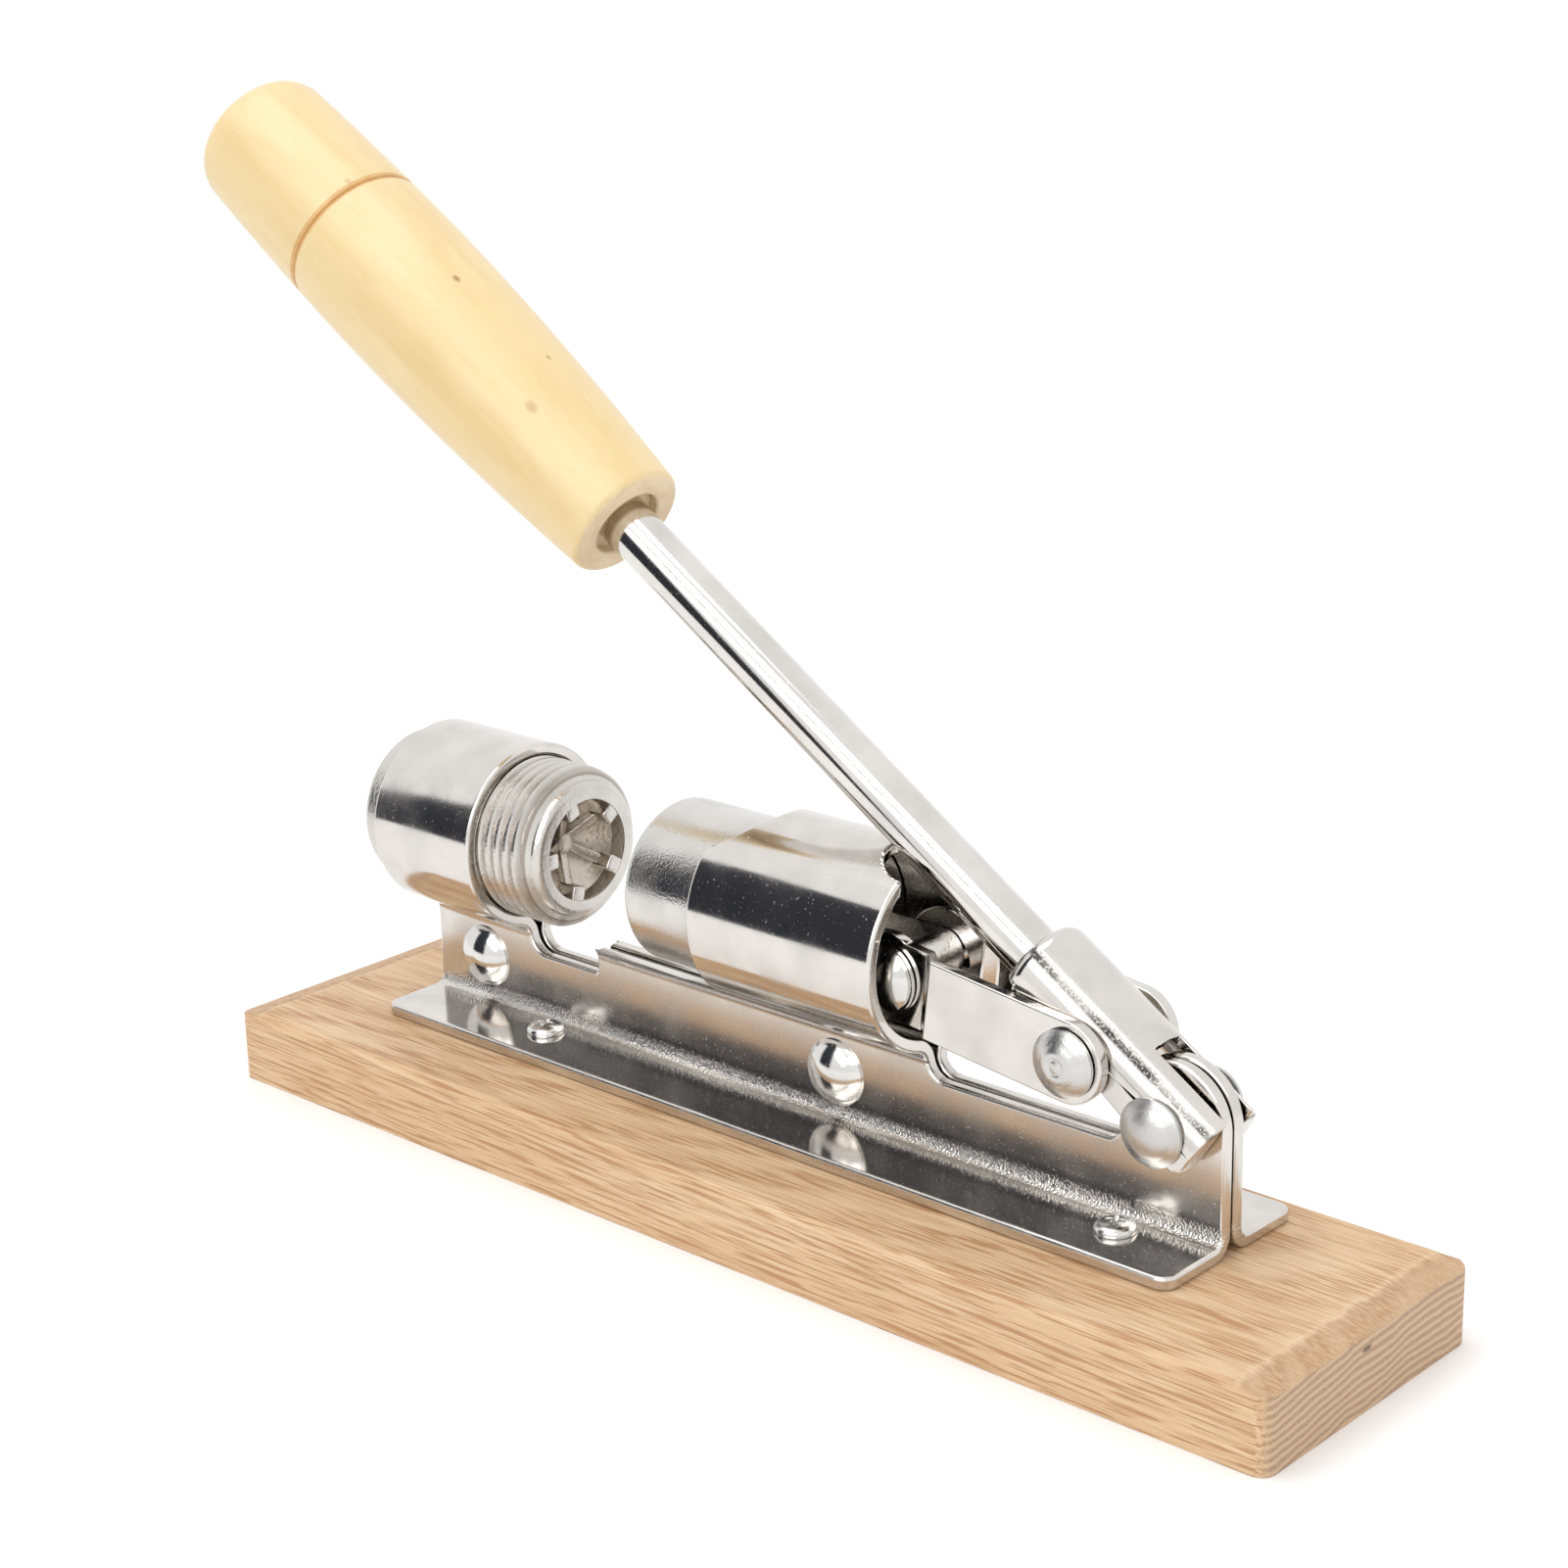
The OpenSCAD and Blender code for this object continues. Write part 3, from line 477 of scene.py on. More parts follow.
board_x, board_y, board_z = oak.parts(oak.place)
off_crown = oak.maths("SUBTRACT", board_y, ring_crown_y)
sunk = oak.times(oak.times(off_crown, off_crown), ring_sink)
level = oak.plus(oak.plus(board_z, sunk), oak.times(board_x, ring_slope))
ripple = along_grain(14 * mm, 2, 5, 0.2, 0.8, 0, 1.8 * mm)
ring_number = oak.times(oak.plus(level, ripple), 1 / ring_gap)
ring_share = oak.maths("FRACT", ring_number)
band_start = oak.between(ring_share, 0.25, 0.5)
band_end = oak.between(ring_share, 0.8, 1.0, 1, 0)
pore_band = oak.times(band_start, band_end)
print("A year's ring is", round(ring_gap / mm, 2), "mm thick")

# %% [markdown]
# The long faces show the pores from the side, as brown dashes, with finer hairs between
# them and slow changes of tone. Each is a noise drawn out along the board, and
# they are laid over one another from the palest colour to the darkest.

# %% Long faces of the oak
cream, tan, brown = (0.76, 0.575, 0.385), (0.60, 0.39, 0.21), (0.40, 0.19, 0.075)
dashes = along_grain(0.42 * mm, 1, 27, 0.47, 0.57)
hairs = along_grain(0.4 * mm, 2, 45, 0.35, 0.62)
drift = along_grain(7 * mm, 4, 14, 0.3, 0.7)
pores = oak.times(dashes, oak.between(pore_band, 0, 1, 0.4, 1))
plain_colour = oak.mixed(oak.times(drift, 0.8), cream, tan)
hair_colour = oak.mixed(oak.times(hairs, 0.75), plain_colour, tan)
band_colour = oak.mixed(oak.times(pore_band, 0.35), hair_colour, tan)
long_colour = oak.mixed(oak.times(pores, 0.8), band_colour, brown)
oak.bump(oak.maths("SUBTRACT", 1, pores), 0.05 * mm)
oak.bump(hairs, 0.02 * mm)
print("The long faces use", len(oak.tree.nodes), "nodes")

# %% [markdown]
# The end faces cut the pores across, so they look darker, and painted shade darkens them
# further, with the rings as arcs of fine specks. A small nick in one of them is a dark spot
# of painted shade, found by the distance from its place.

# %% End faces of the oak
# The end tones hold the end grain's own darkness and painted shade of the end faces.
shaded_end_pale, shaded_end_deep = (0.57, 0.39, 0.24), (0.33, 0.21, 0.135)
nick_place = (board_high.x, -2 * mm, 11.5 * mm)
nick_shade_colour = (0.09, 0.05, 0.03)
end_specks = oak.between(oak.noise(0.35 * mm, 2), 0.35, 0.65, 0.45, 1)
end_grain_and_shade_colour = oak.mixed(oak.times(pore_band, end_specks), shaded_end_pale, shaded_end_deep)
# The nick's dark spot is painted shade of its hollow.
from_nick = oak.away(oak.stretched((1, 2, 0.7), nick_place))
in_nick_shade = oak.between(from_nick, 0.4 * mm, 0.9 * mm, 0.85, 0)
nick_shaded_colour = oak.mixed(in_nick_shade, end_grain_and_shade_colour, nick_shade_colour)
print("The nick lies", round(nick_place[2] / mm, 1), "mm above the floor")

# %% [markdown]
# Each end slope is painted a little darker as shade, and a pale ridge along its upper edge
# is a painted highlight. The slope was sanded by hand and kept no straight line, so noise
# frays the place where the slope begins. The direction of a face tells whether it shows
# the end, the slope or the long grain.

# %% Painted shade and highlight on the end slopes of the oak
slope_x = board_high.x - 5.6 * mm
slope_shade_tone = (0.42, 0.255, 0.14)
facing = oak.parts(oak.facing)
on_end = oak.between(oak.maths("ABSOLUTE", facing["X"]), 0.5, 0.9)
on_top = oak.between(facing["Z"], 0.4, 0.8)
fray = oak.between(oak.noise(5 * mm, 3), 0.3, 0.7, 0, 1.2 * mm)
outwards = oak.plus(oak.maths("ABSOLUTE", board_x), fray)
# Painted shade on the slope and a painted highlight on its ridge.
painted_slope_shade = oak.times(on_top, oak.between(outwards, slope_x, slope_x + 1.2 * mm, 0, 0.5))
ridge_highlight_start = oak.between(outwards, slope_x - mm, slope_x)
ridge_highlight_end = oak.between(outwards, slope_x, slope_x + 0.8 * mm, 0.35, 0)
painted_ridge_highlight = oak.times(on_top, oak.times(ridge_highlight_start, ridge_highlight_end))
slope_shaded_colour = oak.mixed(painted_slope_shade, long_colour, slope_shade_tone)
ridge_highlit_colour = oak.mixed(painted_ridge_highlight, slope_shaded_colour, cream)
oak.drive("Base Color", oak.mixed(on_end, ridge_highlit_colour, nick_shaded_colour))
print("The oak is made of", len(oak.tree.nodes), "nodes")

# %% [markdown]
# The grip is a pale close-grained wood under clear lacquer. Its colour drifts softly
# along the grain, with a few small brown knots, and the lacquer adds a smooth coat over
# it. Its end face was left bare, and the turned groove was darkened by heat.

# %% Grip finishes
knot_colour = (0.36, 0.18, 0.05)
# Of each knot: distance, height and offset from the lever, size in mm, and darkness.
knots = [
    (206.5, 15.4, -4.4, 0.55, 0.9),
    (175, 11.1, -9.2, 0.9, 0.45),
    (182.5, 15.1, -0.5, 0.4, 0.6),
    (238, 14.6, -6.7, 0.5, 0.4),
]


def grip_wood(name, light, deep, coat):
    """Pale turned wood with its grain along the lever."""
    made = Finish(name, Roughness=0.42, Coat_Weight=coat, Coat_Roughness=0.2)
    grain = made.stretched((6, 1, 1), tuple(pivot), lever_turn)
    streaks = made.noise(7 * mm, 5, grain, distortion=0.8)
    fibres = made.noise(0.7 * mm, 2, grain)
    streak_share = made.between(streaks, 0.35, 0.75, 0, 0.8)
    shade = made.plus(streak_share, made.between(fibres, 0.4, 0.8, 0, 0.25))
    colour = made.mixed(shade, light, deep)
    for distance, height, aside, size, darkness in knots:
        place = on_lever(distance * mm, height * mm) + across * (aside * mm)
        from_knot = made.away(made.stretched((1.6, 1, 1), tuple(place), lever_turn))
        knot = made.between(from_knot, 0.5 * size * mm, 1.4 * size * mm, darkness, 0)
        colour = made.mixed(knot, colour, knot_colour)
    made.drive("Base Color", colour)
    made.bump(streaks, 0.12 * mm)
    made.bump(fibres, 0.01 * mm)
    return made


lacquered = grip_wood("lacquered_wood", (0.745, 0.585, 0.32), (0.685, 0.50, 0.225), 0.3)
scorched = grip_wood("scorched_wood", (0.66, 0.40, 0.15), (0.55, 0.30, 0.10), 0.3)
bare_wood = grip_wood("bare_end_wood", (0.74, 0.60, 0.40), (0.56, 0.40, 0.22), 0.0)
print("The grip's wood has", len(knots), "knots")

# %% [markdown]
# CAD nodes whose shape is right keep their mesh and get their finish here. The others
# are replaced further down by pieces with finer curves and rounded edges.

# %% Finishes of the CAD nodes
node_finish = {
    "wooden_base": oak, "handle_grip": lacquered, "lever_rod": rod_metal,
    "body_shell": sheet_metal, "yoke": yoke_metal, "near_link": sheet_metal,
    "far_link": sheet_metal, "anvil_barrel": cast_metal, "anvil_plug": cast_metal,
    "ram": ram_metal, "link_rivet": dull_metal, "pivot_rivet": dull_metal,
}
for name, node in frame["nodes"].items():
    small_finish = screw_metal if name.endswith("screw") else rivet_metal
    node.data.materials.clear()
    node.data.materials.append(node_finish.get(name, small_finish).material)
print("Finished", len(frame["nodes"]), "CAD nodes")

# %% [markdown]
# An operator acts on whatever is selected, so each step first makes its piece the one
# selected object. A finished piece's object sits at the origin, with its place in its
# mesh, because a pattern on Object coordinates would slide if the object moved.

# %% Helpers for selecting and settling


def only(obj):
    """Makes obj the one selected and active object."""
    if bpy.context.object and bpy.context.object.mode != "OBJECT":
        bpy.ops.object.mode_set(mode="OBJECT")
    bpy.ops.object.select_all(action="DESELECT")
    obj.select_set(True)
    bpy.context.view_layer.objects.active = obj


def edit_whole(obj):
    """Opens obj in edit mode, with all of its mesh selected."""
    only(obj)
    bpy.ops.object.mode_set(mode="EDIT")
    bpy.ops.mesh.select_all(action="SELECT")


def settle(obj, name=None):
    """Puts the object's place into its mesh, so that the object sits at the origin."""
    only(obj)
    bpy.ops.object.transform_apply(location=True, rotation=True, scale=True)
    if name:
        obj.name = name
        obj.data.name = name
    return obj


def tidy_mesh(obj, apart=0.001 * mm):
    """Merges doubles and turns the faces outwards."""
    edit_whole(obj)
    bpy.ops.mesh.remove_doubles(threshold=apart)
    bpy.ops.mesh.normals_make_consistent(inside=False)
    bpy.ops.object.mode_set(mode="OBJECT")
    return obj


# %% [markdown]
# Round pieces are turned as on a lathe: a line of points is drawn by extruding one point
# again and again, and the line is spun about an axis. Spinning can leave the faces inside
# out, so doubles are merged and the normals are recalculated before anything else.

# %% Helpers for drawing and turning


def pull(move):
    """Extrudes what is selected along a vector."""
    bpy.ops.mesh.extrude_region_move(TRANSFORM_OT_translate={"value": move})


def drawn_line(name, points, closed=False):
    """A line through points, drawn by extruding a single vertex."""
    bpy.ops.object.select_all(action="DESELECT")
    bpy.ops.mesh.primitive_plane_add(size=mm, location=points[0])
    line = settle(bpy.context.object, name)
    edit_whole(line)
    bpy.ops.mesh.select_mode(type="VERT")
    bpy.ops.mesh.merge(type="CENTER")
    for here, there in zip(points, points[1:]):
        pull(Vector(there) - Vector(here))
    bpy.ops.mesh.select_all(action="SELECT")
    if closed:
        bpy.ops.mesh.edge_face_add()
    bpy.ops.object.mode_set(mode="OBJECT")
    return line


def turned(name, profile, start, way, steps=96):
    """Spins a profile of (distance along way, radius) pairs about the axis at start."""
    outwards = way.orthogonal().normalized()
    points = [start + way * distance + outwards * radius for distance, radius in profile]
    line = drawn_line(name, points)
    edit_whole(line)
    bpy.ops.mesh.spin(steps=steps, angle=2 * math.pi, center=start, axis=way)
    bpy.ops.object.mode_set(mode="OBJECT")
    return tidy_mesh(line)


def arc(centre, radius, start, end, steps):
    """Points of an arc in a plane, by angles in degrees."""
    angles = [math.radians(start + (end - start) * i / steps) for i in range(steps + 1)]
    return [(centre[0] + radius * math.cos(a), centre[1] + radius * math.sin(a)) for a in angles]


# %% [markdown]
# Modifiers do what is tedious by hand: they cut one solid with another, round every edge
# of one kind and give a sheet its thickness. Each is applied at once, so that the next
# step works on the real faces.

# %% Helpers for modifiers


def use_modifier(obj, kind, **settings):
    """Adds a modifier, sets it and applies it."""
    only(obj)
    modifier = obj.modifiers.new(kind.lower(), kind)
    for key, value in settings.items():
        setattr(modifier, key, value)
    bpy.ops.object.modifier_apply(modifier=modifier.name)


def cut(obj, cutter, operation="DIFFERENCE"):
    """Cuts obj with a closed cutter, and deletes the cutter."""
    use_modifier(obj, "BOOLEAN", object=cutter, operation=operation, solver="EXACT")
    bpy.data.objects.remove(cutter)


def smooth(obj, angle=35):
    """Smooth shading, broken where faces meet at more than angle degrees."""
    only(obj)
    bpy.ops.object.shade_smooth_by_angle(angle=math.radians(angle))
    return obj


def round_edges(obj, width, segments=3, angle=38):
    """Rounds hard edges, and lets large faces set the shading beside them."""
    use_modifier(obj, "BEVEL", width=width, segments=segments, limit_method="ANGLE",
                 angle_limit=math.radians(angle), miter_outer="MITER_ARC",
                 use_clamp_overlap=False)
    only(obj)
    bpy.ops.object.shade_smooth()
    use_modifier(obj, "WEIGHTED_NORMAL", weight=50, keep_sharp=False)


def place_piece(obj, body, slot_name, finishes, *nodes):
    """Gives a finished piece its materials and its body, and hides the CAD nodes it stands for.
    """
    obj.data.materials.clear()
    for finish in finishes:
        obj.data.materials.append(finish.material)
    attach(obj, body)
    if nodes:
        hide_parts(*nodes)
    print(obj.name, "has", len(obj.data.polygons), "faces")


# %% [markdown]
# In edit mode, points, edges and faces are picked by their place, as one would click on
# them. A test looks at the middle of each one, and two short helpers look at the ends of
# an edge, so that each test stays short to read.

# %% Helpers for picking
near = 0.01 * mm


def pick(obj, test, kind="VERT"):
    """Selects the vertices, edges or faces whose middle passes the test."""
    bpy.ops.mesh.select_mode(type=kind)
    bpy.ops.mesh.select_all(action="DESELECT")
    mesh = bmesh.from_edit_mesh(obj.data)
    chosen = {"VERT": mesh.verts, "EDGE": mesh.edges, "FACE": mesh.faces}[kind]
    for part in chosen:
        corners = [part] if kind == "VERT" else part.verts
        middle = sum((corner.co for corner in corners), Vector()) / len(corners)
        if test(middle, part):
            part.select_set(True)
    mesh.select_flush_mode()
    bmesh.update_edit_mesh(obj.data)


def reach(edge, axis):
    """How far an edge reaches along one axis."""
    return abs(getattr(edge.verts[0].co, axis) - getattr(edge.verts[1].co, axis))


def ends_at(edge, axis, level):
    """Whether both ends of an edge lie at one level of an axis."""
    return all(abs(getattr(end.co, axis) - level) < near for end in edge.verts)


# %% [markdown]
# The board is a plain block of oak with softened edges. A shallow slope was sanded along
# each end of its top, by hand and not quite straight. The slope is made by cutting the
# block across and lowering its end edges, and its uneven start is left to the finish.

# %% Oak board
end_slope_w = 6.5 * mm
end_slope_drop = 1.3 * mm
corner_r = 3 * mm
long_edge_r = 2 * mm
board_size = board_high - board_low
bpy.ops.object.select_all(action="DESELECT")
bpy.ops.mesh.primitive_cube_add(size=1, location=(board_low + board_high) / 2, scale=board_size)
board = settle(bpy.context.object, "oak_board")
bpy.ops.object.mode_set(mode="EDIT")
for end in (-1, 1):
    cut_place = (end * (board_high.x - end_slope_w), 0, 0)
    bpy.ops.mesh.select_all(action="SELECT")
    bpy.ops.mesh.bisect(plane_co=cut_place, plane_no=(1, 0, 0))
pick(board, lambda p, _: abs(p.x) > board_high.x - near and p.z > board_high.z - near)
bpy.ops.transform.translate(value=(0, 0, -end_slope_drop))


def is_corner(p, edge):
    """Whether an edge is an upright corner of the board."""
    at_corner = abs(p.x) > board_high.x - near and abs(p.y) > board_high.y - near
    return at_corner and edge.calc_length() > board_size.z / 2 and reach(edge, "z") > mm


def is_long_edge(p, edge):
    """Whether an edge runs along the top of the board."""
    at_side = abs(p.y) > board_high.y - near and p.z > board_high.z - 2 * end_slope_drop
    return at_side and reach(edge, "x") > mm


pick(board, is_corner, "EDGE")
bpy.ops.mesh.bevel(offset=corner_r, segments=6, affect="EDGES")
pick(board, is_long_edge, "EDGE")
bpy.ops.mesh.bevel(offset=long_edge_r, segments=5, affect="EDGES")
bpy.ops.object.mode_set(mode="OBJECT")
round_edges(board, 0.2 * mm, segments=2, angle=25)
place_piece(board, "frame", "oak", [oak], "wooden_base")

# %% [markdown]
# The body is one sheet, folded on itself: flange, wall, tube, wall, flange. So it is
# first drawn as the line halfway through the sheet, seen from the front. One side of the
# line is worked out, and the other is its mirror image.

# %% Line of the folded sheet
shell_low, shell_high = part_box("body_shell")
sheet_t = 2.5 * mm
seam_gap = 0.7 * mm
tube_bore_r = 16 * mm
neck_r = 3 * mm
foot_r = 2 * mm
ground = board_high.z
mid_y = pivot.y
tube_h = shell_high.z - tube_bore_r - sheet_t
half_t = sheet_t / 2
wall_y = seam_gap / 2 + half_t
tube_mid_r = tube_bore_r + half_t
neck_y = wall_y + half_t + neck_r
neck_h = tube_h - math.sqrt((tube_mid_r + neck_r + half_t) ** 2 - neck_y ** 2)
foot_y = wall_y + half_t + foot_r
meet = math.degrees(math.atan2(tube_h - neck_h, -neck_y))
tube_steps = 132
side_line = [(shell_high.y - mid_y, ground + half_t)]
side_line += arc((foot_y, ground + sheet_t + foot_r), foot_r + half_t, 270, 180, 8)
side_line += arc((neck_y, neck_h), neck_r + half_t, 180, meet, 8)
tube_line = arc((0, tube_h), tube_mid_r, meet - 180, 360 - meet, tube_steps)
section = side_line + tube_line[1:-1] + [(-y, z) for y, z in reversed(side_line)]
shell = drawn_line("folded_body", [(shell_low.x, mid_y + y, z) for y, z in section])
print("The sheet's line is drawn through", len(section), "points")

# %% [markdown]
# The line is pulled out along the body in two lengths, for the rear one has no tube: it
# ends in a pair of ears. The sheet gets its thickness last, by Solidify, just as a folded
# sheet has the same thickness everywhere.

# %% Pulling out the sheet
rear_edge_x = 30.8 * mm
rear_deck_r = 3.7 * mm
deck_x = rear_edge_x + rear_deck_r
ear_top = ground + 33 * mm
flange_corner_r = 3 * mm
flange_y = shell_high.y - mid_y
edit_whole(shell)
pull((deck_x - shell_low.x, 0, 0))
pick(shell, lambda _, e: ends_at(e, "x", deck_x), "EDGE")
pull((shell_high.x - deck_x, 0, 0))
pick(shell, lambda p, _: p.x > deck_x and p.z > neck_h + near, "FACE")
bpy.ops.mesh.delete(type="FACE")


def is_ear_foot(p, edge):
    """Whether an edge is the rear wall's upper one, from which the ears grow."""
    return p.x > deck_x + mm and ends_at(edge, "z", neck_h) and edge.calc_length() > mm


def is_flange_corner(p, _):
    """Whether a point is one of the four outer corners of the flanges."""
    at_end = abs(p.x - shell_low.x) < near or abs(p.x - shell_high.x) < near
    return at_end and abs(abs(p.y - mid_y) - flange_y) < near


pick(shell, is_ear_foot, "EDGE")
pull((0, 0, ear_top - neck_h))
pick(shell, is_flange_corner)
bpy.ops.mesh.bevel(offset=flange_corner_r, segments=8, affect="VERTICES", profile=0.5)
bpy.ops.object.mode_set(mode="OBJECT")
tidy_mesh(shell)
use_modifier(shell, "SOLIDIFY", thickness=sheet_t, offset=0, use_even_offset=True)
print("The sheet has", len(shell.data.polygons), "faces before its openings are cut")

# %% [markdown]
# The openings are cut through both walls at once. A cutter for them is drawn as an
# outline in side view and pulled out across the whole body, and a round notch or hole is
# cut by a plain bar.

# %% Cutters
cut_w = 60 * mm


def pulled_block(name, outline, move):
    """A closed block: a flat outline pulled out along a vector."""
    block = drawn_line(name, outline, closed=True)
    edit_whole(block)
    pull(move)
    bpy.ops.object.mode_set(mode="OBJECT")
    return tidy_mesh(block)


def side_block(name, outline):
    """A cutter across the whole body, from its outline in side view."""
    return pulled_block(name, [(x, mid_y - cut_w / 2, z) for x, z in outline], across * cut_w)


def cutting_bar(radius, length, place, rotation=(0, 0, 0)):
    """A round cutter."""
    bpy.ops.object.select_all(action="DESELECT")
    bpy.ops.mesh.primitive_cylinder_add(vertices=96, radius=radius, depth=length,
                                        location=place, rotation=rotation)
    return settle(bpy.context.object)


# %% [markdown]
# The first opening is the gap for the nut, with a floor in two steps. The second one
# clears the rear end down to a low deck, and leaves the pair of round ears for the pivot.

# %% Openings of the body
gap_x = shell_low.x + 27.5 * mm
step_x = gap_x + 18.6 * mm
rear_tube_x = gap_x + 58.3 * mm
low_floor_h = ground + 15.4 * mm
high_floor_h = ground + 20.3 * mm
deck_h = ground + 15.8 * mm
ear_r = 10.6 * mm
ear_foot_r = 3 * mm
ear_x = pivot.x - ear_r
floor_corner_r = 4 * mm
cut_over = 2 * mm
tube_top = shell_high.z + cut_over
gap_outline = [(rear_tube_x, tube_top), (rear_tube_x, high_floor_h)]
gap_outline += [(step_x, high_floor_h), (step_x, low_floor_h)]
gap_corner = (gap_x + floor_corner_r, low_floor_h + floor_corner_r)
gap_outline += arc(gap_corner, floor_corner_r, 270, 180, 8)
gap_outline += [(gap_x, tube_top)]
cut(shell, side_block("gap_cutter", gap_outline))
rear_outline = [(shell_high.x + cut_over, tube_top), (shell_high.x + cut_over, pivot.z)]
rear_outline += arc((pivot.x, pivot.z), ear_r, 0, 180, 40)
rear_outline += arc((ear_x - ear_foot_r, deck_h + ear_foot_r), ear_foot_r, 0, -90, 6)
rear_outline += arc((deck_x, deck_h + rear_deck_r), rear_deck_r, 270, 180, 8)
rear_outline += [(rear_edge_x, tube_top)]
cut(shell, side_block("rear_cutter", rear_outline))
print("The gap for the nut is", round((rear_tube_x - gap_x) / mm, 1), "mm long")

# %% [markdown]
# Round bars take a scallop out of the rear tube's mouth and a notch out of its back, and
# drill the walls for the rivets. Rounding every cut edge afterwards gives the bright
# outlines that a tumbled and plated pressing has.

# %% Notches and rivet holes of the body
scallop_r = 13.5 * mm
scallop_set = 5.2 * mm
notch_r = 9.3 * mm
notch_x = 21.85 * mm
notch_bar_l = 40 * mm
notch_bar_h = tube_h + notch_bar_l / 2
cut(shell, cutting_bar(scallop_r, notch_bar_l, (rear_tube_x - scallop_set, mid_y, notch_bar_h)))
cut(shell, cutting_bar(notch_r, notch_bar_l, (notch_x + notch_r, mid_y, notch_bar_h)))
sideways = (math.radians(90), 0, 0)
drill_r = 3.08 * mm
drill_l = 12 * mm
clamp_h = ground + 11 * mm
front_clamp_x = gap_x - 13.75 * mm
rear_clamp_x = rear_tube_x + 21.9 * mm
for x, z in ((front_clamp_x, clamp_h), (rear_clamp_x, clamp_h), (pivot.x, pivot.z)):
    cut(shell, cutting_bar(drill_r, drill_l, (x, mid_y, z), sideways))
edge_r = 0.7 * mm
round_edges(shell, edge_r, segments=4, angle=40)
place_piece(shell, "frame", "nickel_sheet", [sheet_metal], "body_shell")

# %% [markdown]
# The smaller sheet and cast pieces are right in shape, and only their edges are too
# sharp for metal that was tumbled and plated. A CAD node's mesh is loose triangles, so a
# copy of it is merged, its flat faces are joined up again, and its edges are rounded.

# %% Copies with rounded edges


def merged_copy(node, name):
    """A copy of a CAD node with its triangles merged into whole faces."""
    twin = bpy.data.objects.new(name, frame["nodes"][node].data.copy())
    scene.collection.objects.link(twin)
    only(twin)
    bpy.ops.mesh.customdata_custom_splitnormals_clear()
    edit_whole(twin)
    bpy.ops.mesh.remove_doubles(threshold=0.002 * mm)
    bpy.ops.mesh.dissolve_limited(angle_limit=math.radians(0.6))
    bpy.ops.object.mode_set(mode="OBJECT")
    return twin


def softened(node, name, width):
    """A merged copy of a CAD node with rounded edges."""
    twin = merged_copy(node, name)
    round_edges(twin, width)
    return twin


yoke = softened("yoke", "lever_yoke", 0.45 * mm)
place_piece(yoke, "lever", "nickel_sheet", [yoke_metal], "yoke")
for side in ("near", "far"):
    link = softened(side + "_link", side + "_side_link", 0.35 * mm)
    place_piece(link, "links", "nickel_sheet", [sheet_metal], side + "_link")
plug = softened("anvil_plug", "anvil_screw_head", 0.3 * mm)
place_piece(plug, "anvil_carrier", "cast_anvil", [cast_metal], "anvil_plug")

# %% [markdown]
# Anvil and ram both hold the nut in a ribbed cup. The cup is a hollow cone with a small hub
# in its middle. Its line is given as heights over the rim and distances from the axis, so
# the heights inside the cup are below zero.

# %% Line of the cup
cup_r = 10.1 * mm
cup_depth = 9.5 * mm
cup_margin = 0.6 * mm
cup_outer_r = cup_r + cup_margin
cup_foot = -cup_depth - mm
clear_r = cup_r + 0.05 * mm
clear_foot = -cup_depth - 0.3 * mm
rim_set = -0.4 * mm
cone_start = -3 * mm
hub_r = 2 * mm
hub_foot = -8.43 * mm
hub_top = -5.5 * mm
clear_line = [(clear_foot, 0), (clear_foot, clear_r), (cut_over, clear_r), (cut_over, 0)]
cup_line = [(cup_foot, 0), (cup_foot, cup_outer_r), (rim_set, cup_outer_r), (rim_set, cup_r),
            (cone_start, cup_r - 0.5 * mm), (hub_foot, hub_r), (hub_top - 0.4 * mm, hub_r),
            (hub_top - 0.1 * mm, 0.7 * hub_r), (hub_top, 0)]
print("The cup is", round(cup_depth / mm, 1), "mm deep")

# %% [markdown]
# Five thin ribs sink towards the hub, and each one begins at a short lug level with the
# rim. Rib and lug are drawn in side view, as distances from the axis and heights over the
# rim, and pulled out to their widths.

# %% Lugs and ribs of the cup
rib_count = 5
first_rib_turn = math.radians(-20)
lug_w = 3.2 * mm
lug_start = 7.3 * mm
lug_end = cup_r + cup_margin / 2
lug_foot = -4.7 * mm
lug_line = [(lug_start, -0.25 * mm), (lug_end, -0.08 * mm), (lug_end, lug_foot),
            (lug_start, lug_foot)]
rib_w = 2 * mm
rib_start = 1.5 * mm
rib_bend = 8 * mm
rib_end = 9.6 * mm
rib_top = -2.85 * mm
rib_line = [(rib_start, -6.3 * mm), (rib_bend, rib_top), (rib_end, rib_top),
            (rib_end, -6 * mm), (rib_start, -9.2 * mm)]


def add_rib(cup, rim, way, angle):
    """Adds a lug and a rib to a cup, in the direction of an angle from upright."""
    out = Vector((0, math.sin(angle), math.cos(angle)))
    aside = way.cross(out)
    for outline, width, edge in ((lug_line, lug_w, 0.45 * mm), (rib_line, rib_w, 0.3 * mm)):
        corner = rim - aside * width / 2
        points = [corner + out * r + way * h for r, h in outline]
        bar = pulled_block("cup_rib", points, aside * width)
        use_modifier(bar, "BEVEL", width=edge, segments=3)
        cut(cup, bar, "UNION")


print("The cup gets", rib_count, "ribs")

# %% [markdown]
# The copy's plain cup is cleared out and the ready cup is set in. The inside is duller
# than the rest, so the faces there get a second material. The sliding ram is the first
# piece with such a cup.

# %% Sliding ram


def set_cup(obj, rim, way):
    """Sets a ribbed cup into obj, with its rim's middle at rim and its mouth towards way."""
    cut(obj, turned("cup_clearing", clear_line, rim, way))
    cup = turned(obj.name + "_cup", cup_line, rim, way)
    for i in range(rib_count):
        add_rib(cup, rim, way, first_rib_turn + i * 2 * math.pi / rib_count)
    cut(obj, cup, "UNION")


